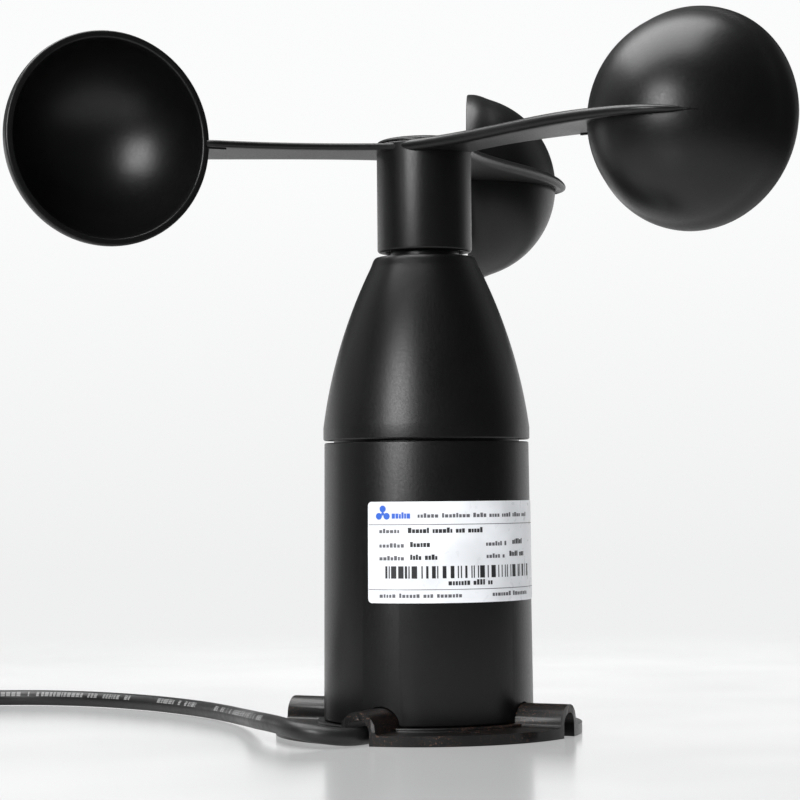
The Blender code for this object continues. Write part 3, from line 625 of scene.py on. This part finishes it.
def rod(r, low, high, at=(0.0, 0.0), steps=48):
    outline = [(0.0, high), (r, high), (r, low), (0.0, low)]
    return turned(outline, steps, closed=False, place=shift(at[0], at[1], 0.0))


def prism(outline, start, end, place):
    """A flat outline in XY, made solid from start to end along Z."""
    bm = bmesh.new()
    skin(bm, [[bm.verts.new((x, y, z)) for x, y in outline] for z in (start, end)])
    return finished(bm, place)


def combined(mesh, others, operation):
    """The mesh joined with, cut by or kept inside the other meshes, one after another."""
    scene = bpy.context.scene.collection
    base = bpy.data.objects.new("combined", mesh)
    scene.objects.link(base)
    helpers = []
    for other in others:
        helper = bpy.data.objects.new("helper", other)
        scene.objects.link(helper)
        mod = base.modifiers.new("combine", "BOOLEAN")
        mod.operation = operation
        mod.solver = "EXACT"
        mod.object = helper
        helpers.append(helper)
    result = evaluated(base)
    for helper in helpers:
        bpy.data.objects.remove(helper)
    return result


def evaluated(obj):
    """The object's mesh with its modifiers applied; the object is removed."""
    bpy.context.view_layer.update()
    graph = bpy.context.evaluated_depsgraph_get()
    mesh = bpy.data.meshes.new_from_object(obj.evaluated_get(graph))
    bpy.data.objects.remove(obj)
    return mesh


def bevelled(mesh, width, degrees=38.0, segments=2):
    obj = bpy.data.objects.new("bevelled", mesh)
    bpy.context.scene.collection.objects.link(obj)
    mod = obj.modifiers.new("bevel", "BEVEL")
    mod.width = width
    mod.segments = segments
    mod.limit_method = "ANGLE"
    mod.angle_limit = math.radians(degrees)
    mod.harden_normals = False
    return evaluated(obj)


def joined(meshes):
    bm = bmesh.new()
    for mesh in meshes:
        bm.from_mesh(mesh)
    return finished(bm)


def shift(x=0.0, y=0.0, z=0.0):
    return Matrix.Translation((x, y, z))


def spin(degrees, axis="Z"):
    return Matrix.Rotation(math.radians(degrees), 4, axis)


def arc(centre_r, centre_z, radius, start, end, count):
    return [(centre_r + radius * math.cos(math.radians(start + (end - start) * i / count)),
             centre_z + radius * math.sin(math.radians(start + (end - start) * i / count)))
            for i in range(count + 1)]


def around(radius, count, start=0.0):
    return [(radius * math.cos(math.radians(start) + TAU * i / count),
             radius * math.sin(math.radians(start) + TAU * i / count)) for i in range(count)]


def bezier(points, count):
    """Points on the cubic curve with these four control points."""
    a, b, c, d = (Vector(p) for p in points)
    result = []
    for i in range(count + 1):
        t = i / count
        s = 1 - t
        result.append(a * s ** 3 + 3 * b * s * s * t + 3 * c * s * t * t + d * t ** 3)
    return result


def even_points(points, count):
    """Points the same distance apart along a polyline."""
    lengths = [0.0]
    for p, q in zip(points, points[1:]):
        lengths.append(lengths[-1] + (q - p).length)
    result = []
    j = 0
    for i in range(count + 1):
        want = lengths[-1] * i / count
        while j < len(points) - 2 and lengths[j + 1] < want:
            j += 1
        share = (want - lengths[j]) / (lengths[j + 1] - lengths[j])
        result.append(points[j].lerp(points[j + 1], share))
    return result


def smooth_line(points, parts=8):
    """A Catmull-Rom curve through the points."""
    ends = [2 * points[0] - points[1], *points, 2 * points[-1] - points[-2]]
    line = []
    for a, b, c, d in zip(ends, ends[1:], ends[2:], ends[3:]):
        for k in range(parts):
            t = k / parts
            line.append(0.5 * (2 * b + (c - a) * t + (2 * a - 5 * b + 4 * c - d) * t * t
                               + (3 * b - 3 * c + d - a) * t * t * t))
    line.append(points[-1])
    return line


def pipe(points, radius, sides):
    """A round tube along the points, with its frame carried along so that it doesn't twist."""
    bm = bmesh.new()
    along = (points[1] - points[0]).normalized()
    side = along.cross(Vector((0.0, 0.0, 1.0)))
    if side.length < 0.1:
        side = along.cross(Vector((1.0, 0.0, 0.0)))
    side.normalize()
    rings = []
    for i, point in enumerate(points):
        ahead = points[min(i + 1, len(points) - 1)] - points[max(i - 1, 0)]
        along = ahead.normalized()
        side = (side - along * side.dot(along)).normalized()
        other = along.cross(side)
        rings.append([bm.verts.new(point + radius * (side * math.cos(TAU * k / sides)
                                                     + other * math.sin(TAU * k / sides)))
                      for k in range(sides)])
    skin(bm, rings)
    return finished(bm)


# ---- base and housing -------------------------------------
def radial_place(degrees):
    """Stands an XY outline upright and points its depth outwards in this direction."""
    return spin(degrees + 90.0) @ spin(90.0, "X")


def four_ways(outline, start, end):
    """An upright outline run outwards from start to end along each of the four tunnels."""
    return [prism(outline, start, end, radial_place(90.0 * i)) for i in range(4)]


def tunnel_outline(radius, mid_z, foot_z):
    return [(radius, foot_z)] + arc(0.0, mid_z, radius, 0.0, 180.0, 24) + [(-radius, foot_z)]


def arch_outline():
    """Outside of a cable tunnel, with a fillet where it meets the flange."""
    reach = ARCH_R + ARCH_FOOT
    side = arc(reach, ARCH_MID_Z, ARCH_FOOT, 272.0, 180.0, 6)
    hood = arc(0.0, ARCH_MID_Z, ARCH_R, 0.0, 180.0, 28)[1:-1]
    other = [(-x, z) for x, z in reversed(side)]
    return [(reach, 1.0)] + side + hood + other + [(-reach, 1.0)]


def make_base(mats):
    groove_r = PLUG_R - GROOVE_DEPTH
    outline = rounded([
        (0.0, PLUG_Z), (PLUG_R, PLUG_Z, 0.5), (PLUG_R, PLUG_GROOVE[1]),
        (groove_r, PLUG_GROOVE[1]), (groove_r, PLUG_GROOVE[0]), (PLUG_R, PLUG_GROOVE[0]),
        (PLUG_R, STEP_Z), (STEP_R, STEP_Z, 0.25), (STEP_R, FLANGE_T, 0.2),
        (FLANGE_R, FLANGE_T), (FLANGE_R, 0.0), (RECESS_R, 0.0),
        (RECESS_R, RECESS_Z, 0.6), (ISLAND_R, RECESS_Z, 0.6), (ISLAND_R, 0.0),
        (0.0, 0.0)], closed=False)
    base = turned(outline, closed=False)
    rim = rod(FLANGE_R, 0.0, ARCH_MID_Z + ARCH_R + 2 * PAST, steps=144)
    hoods = [combined(hood, [rim], "INTERSECT")
             for hood in four_ways(arch_outline(), PLUG_R - 1.5, FLANGE_R + 2 * PAST)]
    base = combined(base, hoods, "UNION")
    tunnel = tunnel_outline(TUNNEL_R, TUNNEL_MID_Z, -PAST)
    cuts = four_ways(tunnel, RECESS_R - 2 * PAST, FLANGE_R + 2 * PAST)
    for at in around(MOUNT_HOLE_AT, 4, 45.0):
        cuts.append(rod(MOUNT_HOLE_R, -PAST, STEP_Z + PAST, at))
    for at in around(BASE_SCREW_AT, 4, 45.0):
        cuts.append(rod(SCREW_HEAD_HOLE_R, -PAST, SCREW_HEAD_HOLE_Z, at))
        cuts.append(rod(SCREW_HOLE_R, SCREW_HEAD_HOLE_Z - 0.7, PLUG_Z + PAST, at, 32))
    cuts.append(rod(CABLE_HOLE_R, RECESS_Z - PAST, PLUG_Z + PAST, (0.0, -CABLE_HOLE_AT)))
    base = combined(base, cuts, "DIFFERENCE")
    base = bevelled(base, 0.22)
    add_piece("base_casting", base, mats["base_paint"], "base", ["base_flange"])


def make_housing(mats):
    outline = rounded([(HOUSING_BORE_R, HOUSING_HIGH), (HOUSING_HIGH_R, HOUSING_HIGH, 0.35),
                       (HOUSING_LOW_R, HOUSING_LOW, 0.25), (HOUSING_BORE_R, HOUSING_LOW)])
    housing = turned(outline)
    bosses = []
    for i, at in enumerate(around(BASE_SCREW_AT, 4, 45.0)):
        bosses.append(rod(BOSS_R, *BOSS_Z, at))
        web = [(BASE_SCREW_AT, -BOSS_WEB_HALF), (HOUSING_BORE_R + 0.8, -BOSS_WEB_HALF),
               (HOUSING_BORE_R + 0.8, BOSS_WEB_HALF), (BASE_SCREW_AT, BOSS_WEB_HALF)]
        bosses.append(prism(web, BOSS_Z[0] + 0.5, BOSS_Z[1] - 0.6, spin(45.0 + 90.0 * i)))
    housing = combined(housing, bosses, "UNION")
    notch = tunnel_outline(ARCH_R + NOTCH_GAP, ARCH_MID_Z, 1.0)
    cuts = four_ways(notch, HOUSING_BORE_R - 2 * PAST, HOUSING_LOW_R + 2 * PAST)
    cuts += [rod(BOSS_HOLE_R, PLUG_Z - PAST, BOSS_HOLE_TOP_Z, at, 24)
             for at in around(BASE_SCREW_AT, 4, 45.0)]
    housing = combined(housing, cuts, "DIFFERENCE")
    add_piece("housing_tube", housing, mats["paint"], "base", ["lower_housing"])


def nose_side(offset, count):
    """The ogive's side from top to bottom, moved inwards by offset."""
    centre_r = NOSE_BAND_R - NOSE_ARC_R * math.cos(math.radians(NOSE_ARC_FROM))
    centre_z = NOSE_BAND_Z - NOSE_ARC_R * math.sin(math.radians(NOSE_ARC_FROM))
    return arc(centre_r, centre_z, NOSE_ARC_R - offset, NOSE_ARC_TO, NOSE_ARC_FROM, count)


def make_nose(mats):
    outside = nose_side(0.0, 40)
    inside = nose_side(NOSE_WALL, 20)[::-1]
    shoulder_r, shoulder_z = outside[0]
    groove_r = SPIGOT_R - GROOVE_DEPTH
    shoulder = bezier([(shoulder_r - 1.6, NOSE_TOP_Z), (shoulder_r - 0.7, NOSE_TOP_Z),
                       (shoulder_r - 0.35, shoulder_z + 0.7), (shoulder_r, shoulder_z)], 8)[:-1]
    outline = [(COLLAR_R, COLLAR_Z), (COLLAR_R, NOSE_TOP_Z)] + shoulder + outside
    outline += [(NOSE_BAND_R, NOSE_BOTTOM_Z + 0.3), (NOSE_BAND_R - 0.3, NOSE_BOTTOM_Z),
                (SPIGOT_R, NOSE_BOTTOM_Z),
                (SPIGOT_R, SPIGOT_GROOVE[1]), (groove_r, SPIGOT_GROOVE[1]),
                (groove_r, SPIGOT_GROOVE[0]), (SPIGOT_R, SPIGOT_GROOVE[0]), (SPIGOT_R, SPIGOT_Z),
                (SPIGOT_BORE_R, SPIGOT_Z), (SPIGOT_BORE_R, SEAT_Z[0]), (SEAT_R, SEAT_Z[0]),
                (SEAT_R, SEAT_Z[1]), (inside[0][0], SEAT_Z[1])]
    outline += [point for point in inside if point[0] > TUBE_R + 0.5 and point[1] > SEAT_Z[1]]
    outline += [(TUBE_R, TUBE_Z[1] - 1.5), (TUBE_R, TUBE_Z[0]), (TUBE_BORE_R, TUBE_Z[0]),
                (TUBE_BORE_R, TUBE_Z[1]), (SHAFT_HOLE_R, TUBE_Z[1]), (SHAFT_HOLE_R, SEAL_Z),
                (SEAL_R, SEAL_Z), (SEAL_R, COLLAR_Z)]
    add_piece("nose_shell", turned(outline), mats["paint"], "base", ["nose_cone"])


def make_base_screws(mats):
    low, high = SCREW_HEAD_Z
    half_length, half_width, slot_top = SCREW_SLOT
    slot = [(-half_length, -half_width), (half_length, -half_width), (half_length, half_width),
            (-half_length, half_width)]
    head = rounded([(0.0, high), (SCREW_HEAD_R, high), (SCREW_HEAD_R, low, 0.7), (0.0, low)],
                   closed=False)
    for i, at in enumerate(around(BASE_SCREW_AT, 4, 45.0), start=1):
        screw = turned(head, 40, closed=False, place=shift(at[0], at[1]))
        screw = combined(screw, [rod(SCREW_SHANK_R, high - 0.3, SCREW_END_Z, at, 24)], "UNION")
        slots = [prism(slot, 0.0, slot_top, shift(at[0], at[1]) @ spin(20.0 * i + turn))
                 for turn in (0.0, 90.0)]
        screw = combined(screw, slots, "DIFFERENCE")
        add_piece(f"base_screw_{i}_detail", screw, mats["steel"], "base", [f"base_screw_{i}"])


# ---- rotor ------------------------------------------------
def cup_place(degrees):
    """A cup's own frame: origin at its centre, +Z out of its open side."""
    opening = degrees + 90.0 + CUP_TOE
    centre = spin(degrees) @ Vector((CUP_AT, 0.0, ARM_MID_Z))
    return Matrix.Translation(centre) @ spin(opening) @ spin(90.0, "Y")


def make_cups(mats):
    inner_r = CUP_R - CUP_WALL
    inner = arc(0.0, 0.0, inner_r, -90.0, -5.5, 40)
    outer = arc(0.0, 0.0, CUP_R, -CUP_BLEND, -90.0, 40)
    inner[0] = (0.0, -inner_r)
    outer[-1] = (0.0, -CUP_R)
    foot = CUP_RIM_AT - CUP_RIM_H / 2
    lip = rounded([inner[-1], (inner_r + 0.25, CUP_RIM_AT, 0.55), (CUP_RIM_R, CUP_RIM_AT, 0.6),
                   (CUP_RIM_R, foot)], closed=False)[1:-1]
    top_r, top_z = outer[0]
    lean = math.radians(CUP_BLEND)
    blend = bezier([(CUP_RIM_R, foot), (CUP_RIM_R, foot - CUP_RIM_H),
                    (top_r + CUP_RIM_H * math.sin(lean), top_z + CUP_RIM_H * math.cos(lean)),
                    (top_r, top_z)], 8)[:-1]
    outline = inner + lip + blend + outer
    for i, degrees in enumerate(CUP_ANGLES, start=1):
        cup = turned(outline, closed=False, place=cup_place(degrees))
        add_piece(f"cup_shell_{i}", cup, mats["paint"], "rotor", [f"cup_{i}"])


def arm_edges():
    """The blade's leading edge and its trailing edge, which runs on round the cup."""
    pole = (CUP_AT, -28.0)
    lead = bezier([(0.0, -HUB_R + 0.2), (28.0, -HUB_R + 0.2), (52.0, -28.4), pole], 60)
    lead += bezier([pole, (84.0, -27.9), (88.5, -25.9), (92.1, -20.8)], 30)[1:]
    trail = bezier([(2.0, 10.4), (14.0, 2.6), (34.0, -3.6), (54.5, -2.2)], 40)
    hug = [Vector((CUP_AT, 0.0)) + Vector(p) for p in arc(0.0, 0.0, CUP_R - 0.6, 186.0, 302.0, 40)]
    return even_points(lead, ARM_STATIONS), even_points(trail + hug, ARM_STATIONS)


def arm_section(lead, trail):
    """The blade's section from leading to trailing edge and back: along in XY, and height."""
    chord = (trail - lead).length
    lead_r = ARM_LEAD_T / 2
    trail_r = ARM_TRAIL_T / 2
    upper = []
    for t in (0.0, 0.04, 0.15, 0.35, 0.65, 1.0):
        upper.append((lead_r * t, lead_r * math.sqrt(1.0 - (1.0 - t) ** 2)))
    for t in (0.1, 0.2, 0.35, 0.5, 0.65, 0.8, 0.93):
        upper.append((lead_r + (chord - lead_r - trail_r) * t, lead_r + (trail_r - lead_r) * t))
    for t in (1.0, 0.6, 0.3, 0.1):
        upper.append((chord - trail_r * t, trail_r * math.sqrt(1.0 - (1.0 - t) ** 2)))
    upper.append((chord, 0.0))
    across = (trail - lead).normalized() if chord > 1e-6 else Vector((0.0, 1.0))
    squeeze = min(1.0, chord / (lead_r + trail_r))
    section = [(lead + across * s, h * squeeze) for s, h in upper]
    return section + [(p, -h) for p, h in reversed(section[1:-1])]


def make_arm(degrees):
    bm = bmesh.new()
    rings = []
    for i, (lead, trail) in enumerate(zip(*arm_edges())):
        end = max(0.0, 2.0 * i / ARM_STATIONS - 1.0) ** 2
        middle_z = ARM_MID_Z - FIN_SINK * end
        thickness = 1.0 - FIN_THIN * end
        rings.append([bm.verts.new((p.x, p.y, middle_z + h * thickness))
                      for p, h in arm_section(lead, trail)])
    skin(bm, rings)
    return finished(bm, spin(degrees))


def make_rib(degrees):
    """A small moulding rib under the blade, next to the cup's rim."""
    (left, near), (right, far) = RIB
    outline = rounded([(x, y, 0.4) for x, y in ((left, near), (right, near), (right, far),
                                                (left, far))])
    foot = ARM_MID_Z - ARM_TRAIL_T / 2
    return prism(outline, foot - RIB_HALF_H, foot + RIB_HALF_H, spin(degrees))


def make_hub(mats):
    """The sleeve and its three arms, which are one moulding."""
    web_low, web_high = HUB_WEB_Z
    outline = rounded([(HUB_BORE_R, HUB_HIGH), (HUB_R, HUB_HIGH, 0.6), (HUB_R, HUB_LOW, 0.7),
                       (SKIRT_BORE_R, HUB_LOW, 0.3), (SKIRT_BORE_R, web_low), (HUB_BORE_R, web_low)])
    hub = turned(outline, 120)
    arms = [make_arm(degrees) for degrees in CUP_ANGLES]
    hub = combined(hub, arms, "UNION")
    ribs = [make_rib(degrees) for degrees in CUP_ANGLES]
    hub = combined(hub, ribs, "UNION")
    hub = combined(hub, [rod(HUB_POCKET_R, web_high, HUB_HIGH + 3.0)], "DIFFERENCE")
    add_piece("hub_and_arms", hub, mats["paint"], "rotor", ["rotor_hub"])


def make_cap(mats):
    foot = HUB_HIGH + CAP_GAP
    edge_z = foot + 0.3
    edge_r = HUB_R - 0.2
    dome = [(edge_r * math.sin(TAU * i / 80), edge_z + (CAP_Z - edge_z) * math.cos(TAU * i / 80))
            for i in range(21)]
    spigot_r = HUB_POCKET_R - 0.3
    cap = dome + [(edge_r, foot), (spigot_r, foot), (spigot_r, foot - CAP_SPIGOT_H),
                  (0.0, foot - CAP_SPIGOT_H)]
    add_piece("cap_dome", turned(cap, 120, closed=False), mats["paint"], "rotor", ["hub_cap"])


# ---- label ------------------------------------------------
LABEL_WIDTH = math.radians(LABEL_ANGLES[1] - LABEL_ANGLES[0]) * (HOUSING_LOW_R - 0.3)
LABEL_HEIGHT = LABEL_HIGH - LABEL_LOW


def label_point(across, down, lift):
    """A point on the label: mm from its left edge, mm below its top edge, mm above the tube."""
    angle = math.radians(LABEL_ANGLES[0]) + across / (HOUSING_LOW_R - 0.3)
    z = LABEL_HIGH - down
    taper = (HOUSING_HIGH_R - HOUSING_LOW_R) / (HOUSING_HIGH - HOUSING_LOW)
    r = HOUSING_LOW_R + taper * (z - HOUSING_LOW) + lift
    return Vector((r * math.cos(angle), r * math.sin(angle), z))


def label_patch(bm, left, top, width, height):
    """A rectangle of ink that follows the label round the tube."""
    low = LABEL_GAP + LABEL_T
    high = low + INK_T
    count = max(1, round(width / 0.8))
    columns = []
    for i in range(count + 1):
        across = left + width * i / count
        columns.append([bm.verts.new(label_point(across, down, lift))
                        for down, lift in ((top, high), (top + height, high),
                                           (top + height, low), (top, low))])
    skin(bm, columns)


def label_disc(bm, across, down, radius):
    """A disc of ink on the label."""
    low = LABEL_GAP + LABEL_T
    steps = 24
    rings = []
    for lift in (low, low + INK_T):
        rings.append([bm.verts.new(label_point(across + radius * math.cos(TAU * i / steps),
                                               down + radius * math.sin(TAU * i / steps), lift))
                      for i in range(steps)])
    skin(bm, rings)


def greeked(bm, rng, left, right, middle, height, gap=0.22):
    """A line of plain blocks that stands for a line of words."""
    across = left
    letters = rng.randint(4, 8)
    while across < right - 0.3:
        width = min(rng.uniform(0.45, 0.85), right - across)
        tall = height * rng.choice((0.72, 0.72, 0.8, 1.0))
        label_patch(bm, across, middle + height / 2 - tall, width, tall)
        across += width + gap
        letters -= 1
        if letters == 0:
            across += 0.7
            letters = rng.randint(3, 8)


def make_label(mats):
    """The film, as columns from its lower to its upper face, and the ink on it."""
    lefts = [LABEL_CORNER * (1.0 - math.cos(TAU * i / 16)) for i in range(5)]
    stations = lefts + [LABEL_CORNER + (LABEL_WIDTH - 2 * LABEL_CORNER) * i / 60
                        for i in range(1, 60)] + [LABEL_WIDTH - x for x in reversed(lefts)]
    bm = bmesh.new()
    columns = []
    for across in stations:
        edge = min(across, LABEL_WIDTH - across, LABEL_CORNER)
        inset = LABEL_CORNER - math.sqrt(max(0.0, LABEL_CORNER ** 2 - (LABEL_CORNER - edge) ** 2))
        columns.append([bm.verts.new(label_point(across, down, lift)) for down, lift in (
            (inset, LABEL_GAP), (inset, LABEL_GAP + LABEL_T),
            (LABEL_HEIGHT - inset, LABEL_GAP + LABEL_T), (LABEL_HEIGHT - inset, LABEL_GAP))])
    skin(bm, columns)
    add_piece("label_film", finished(bm), mats["label"], "base", ["rating_label"])
    rng = random.Random(7)
    make_black_print(mats, rng)
    make_grey_print(mats, rng)
    make_emblem(mats, rng)


def make_black_print(mats, rng):
    bm = bmesh.new()
    for left, right, middle in ((10.2, 28.6, 6.8), (10.7, 16.3, 10.1), (10.7, 17.2, 13.1),
                                (38.0, 43.0, 9.7), (36.8, 43.2, 12.6)):
        greeked(bm, rng, left, right, middle, 1.25, 0.15)
    greeked(bm, rng, 19.6, 31.0, 19.1, 1.3, 0.2)
    across = 4.6
    while across < 46.0:
        width = rng.choice((0.3, 0.3, 0.55, 0.9, 1.3))
        label_patch(bm, across, 15.2, width, 2.9)
        across += width + rng.choice((0.3, 0.45, 0.8, 1.0))
    add_piece("label_black_print", finished(bm), mats["ink"], "base")


def make_grey_print(mats, rng):
    bm = bmesh.new()
    for left, right, middle in ((12.5, 45.4, 3.3), (3.1, 8.2, 6.9), (3.1, 9.5, 10.3),
                                (3.1, 9.5, 13.3), (29.3, 36.0, 10.1), (29.4, 35.0, 13.0),
                                (3.1, 23.3, 22.1), (31.0, 46.0, 22.0)):
        greeked(bm, rng, left, right, middle, 1.05)
    for down in (5.35, 20.65):
        label_patch(bm, 0.25, down, LABEL_WIDTH - 0.5, 0.16)
    add_piece("label_grey_print", finished(bm), mats["grey_ink"], "base")


def make_emblem(mats, rng):
    """Three cups round a hub, with a short line of blocks beside them."""
    bm = bmesh.new()
    middle = Vector((4.0, 2.85))
    label_disc(bm, middle.x, middle.y, 0.4)
    for x, y in around(1.15, 3, 30.0):
        label_disc(bm, middle.x + x, middle.y + y, 0.8)
    greeked(bm, rng, 6.3, 10.8, 3.25, 1.5, 0.14)
    add_piece("label_emblem", finished(bm), mats["blue_ink"], "base")


# ---- cable ------------------------------------------------
def coil_point(radius, degrees, z):
    """A point this far from the coil's middle, in this direction."""
    a = math.radians(degrees)
    return Vector((COIL_MIDDLE.x + radius * math.cos(a), COIL_MIDDLE.y + radius * math.sin(a), z))


def coil_moves():
    """Where each turn ends: degrees wound, and the radius and height that it has moved to by then.

    Each layer's sideways moves come one step before the last layer's move up, so no turn cuts
    through another.
    """
    moves = []
    wound = 0.0
    early = 0.0
    for layer in range(COIL_LAYERS):
        radii = COIL_RADII if layer % 2 == 0 else COIL_RADII[::-1]
        z = COIL_FLOOR + CABLE_R + COIL_PITCH * layer
        for radius in radii[1:]:
            wound += 360.0
            moves.append((wound - early, radius, z))
        wound += 360.0
        early += COIL_SHIFT
        moves.append((wound - early, radii[-1], z + COIL_PITCH))
        early += COIL_SHIFT
    return moves


def cable_line():
    """The cable's centre from the tunnel to its free end on the coil."""
    line = smooth_line([Vector(p) for p in ROUTE])
    meet = line[-1] - Vector((COIL_MIDDLE.x, COIL_MIDDLE.y, line[-1].z))
    meet_angle = math.degrees(math.atan2(meet.y, meet.x))
    radius, z = meet.length, line[-1].z
    moves = [(COIL_ENTRY, COIL_RADII[0], COIL_FLOOR + CABLE_R, COIL_ENTRY)]
    moves += [(COIL_ENTRY + wound, r, high, COIL_SHIFT) for wound, r, high in coil_moves()]
    end, _, top, _ = moves[-1]
    moves[-1] = (end, COIL_RADII[1], top, COIL_SHIFT)
    moves.append((end + TAIL_LENGTH, COIL_RADII[1], top, COIL_SHIFT))
    wound = 0.0
    for end, next_radius, next_z, over in moves:
        start = wound
        count = max(1, round((end - start) / COIL_STEP))
        for i in range(1, count + 1):
            wound = start + (end - start) * i / count
            t = min(1.0, max(0.0, (wound - end + over) / over))
            t = t * t * (3.0 - 2.0 * t)
            line.append(coil_point(radius + (next_radius - radius) * t, meet_angle + wound,
                                   z + (next_z - z) * t))
        radius, z = next_radius, next_z
    return line, meet_angle + wound


def make_cable(mats):
    line, end_angle = cable_line()
    cable = add_piece("sensor_cable", pipe(line, CABLE_R, 24), mats["cable"], "base",
                      ["cable", "cable_coil", "cable_tail"], crease=60.0)
    tie = make_tie(mats)
    cores = make_cores(mats, line, end_angle)
    print_marks = make_cable_print(mats, line)


def make_tie(mats):
    """A cable tie round the coil's turns, with its head on the outside."""
    inner = COIL_RADII[-1] - CABLE_R - 0.1
    outer = COIL_RADII[0] + CABLE_R + 0.1
    low = COIL_FLOOR - 0.05
    high = COIL_FLOOR + COIL_LAYERS * COIL_PITCH + 0.1
    thick = TIE_T
    half = TIE_HALF_WIDTH
    loop = rounded([(inner, low, 1.6), (outer, low, 1.6), (outer, high, 1.6), (inner, high, 1.6)])
    grown = rounded([(inner - thick, low - thick, 2.0), (outer + thick, low - thick, 2.0),
                     (outer + thick, high + thick, 2.0), (inner - thick, high + thick, 2.0)])
    place = shift(COIL_MIDDLE.x, COIL_MIDDLE.y) @ spin(TIE_ANGLE) @ spin(90.0, "X")
    bm = bmesh.new()
    rows = []
    for side in (-half, half):
        rows.append(([bm.verts.new((x, z, side)) for x, z in loop],
                     [bm.verts.new((x, z, side)) for x, z in grown]))
    (low_in, low_out), (high_in, high_out) = rows
    for i in range(len(loop)):
        j = (i + 1) % len(loop)
        bm.faces.new((low_in[i], low_in[j], high_in[j], high_in[i]))
        bm.faces.new((low_out[i], low_out[j], high_out[j], high_out[i]))
        bm.faces.new((low_in[i], low_in[j], low_out[j], low_out[i]))
        bm.faces.new((high_in[i], high_in[j], high_out[j], high_out[i]))
    strap = finished(bm, place)
    head = rounded([(outer + 0.2, high - 6.0, 0.5), (outer + 3.4, high - 6.0, 0.5),
                    (outer + 3.4, high - 1.8, 0.5), (outer + 0.2, high - 1.8, 0.5)])
    block = prism(head, -TIE_HEAD_HALF_WIDTH, TIE_HEAD_HALF_WIDTH, place)
    tail = rounded([(outer + 1.6, high - 7.5), (outer + 2.5, high - 7.5), (outer + 2.5, high + 4.5),
                    (outer + 1.6, high + 5.3)])
    end = prism(tail, -half, half, place)
    return add_piece("coil_tie", joined([strap, block, end]), mats["tie"], "base")


def make_cores(mats, line, end_angle):
    """Four insulated cores that leave the sheath's end, each with a tinned tip."""
    pieces = []
    ahead = (line[-1] - line[-2]).normalized()
    side = Vector((0.0, 0.0, 1.0)).cross(ahead)
    start = line[-1] - ahead * 1.0
    top = COIL_FLOOR + COIL_LAYERS * COIL_PITCH
    places = (("brown", 0.75, 0.0, 1.0), ("black", 0.0, 0.75, 0.35), ("yellow", 0.0, -0.75, -0.35),
              ("blue", -0.75, 0.0, -1.0))
    for colour, across, up, spread in places:
        root = start + side * across + Vector((0.0, 0.0, up))
        points = []
        for i in range(13):
            t = i / 12
            angle = end_angle + math.degrees(CORE_LENGTH / COIL_RADII[1]) * t
            rest = coil_point(COIL_RADII[1] - 2.6 * spread, angle, top + 0.75)
            follow = root + ahead * CORE_LENGTH * t
            ease = t * t * (3.0 - 2.0 * t)
            points.append(follow.lerp(rest, ease))
        nodes = ["cable_cores"] if colour == "brown" else []
        sheath = pipe(points[:CORE_BARE_FROM + 1], CORE_R, 12)
        tip = pipe(points[CORE_BARE_FROM:], CORE_TIP_R, 10)
        pieces.append(add_piece("core_" + colour, sheath, mats["lead_" + colour], "base", nodes,
                                crease=60.0))
        pieces.append(add_piece("core_tip_" + colour, tip, mats["copper"], "base", crease=60.0))
    return pieces


def make_cable_print(mats, line):
    """Faint printed dashes along the side of the cable, in place of its lettering."""
    rng = random.Random(3)
    even = even_points(line, 4000)
    spacing = (even[1] - even[0]).length
    bm = bmesh.new()
    at, end = PRINT_SPAN
    while at < end:
        width = rng.uniform(0.5, 1.3)
        first, last = round(at / spacing), round((at + width) / spacing)
        columns = []
        for point, after in zip(even[first:last + 1], even[first + 1:last + 2]):
            ahead = (after - point).normalized()
            side = Vector((0.0, 0.0, 1.0)).cross(ahead)
            column = []
            for degrees in PRINT_ANGLES:
                a = math.radians(degrees)
                out = side * math.cos(a) + Vector((0.0, 0.0, 1.0)) * math.sin(a)
                column += [bm.verts.new(point + out * (CABLE_R - 0.03)),
                           bm.verts.new(point + out * (CABLE_R + 0.02))]
            columns.append([column[i] for i in (0, 2, 4, 5, 3, 1)])
        if len(columns) > 1:
            skin(bm, columns)
        at += width + rng.choice((0.35, 0.35, 0.4, 2.2))
        if rng.random() < 0.03:
            at += 12.0
    return add_piece("cable_print", finished(bm), mats["print"], "base", crease=60.0)


def main():
    make_camera()
    mats = make_materials()
    make_cable(mats)
    make_base(mats)
    make_housing(mats)
    make_nose(mats)
    make_base_screws(mats)
    make_cups(mats)
    make_hub(mats)
    make_cap(mats)
    make_label(mats)
    finish_cad_nodes(mats)
    make_floor()
    make_reflector()
    make_lights()
    make_world()


main()
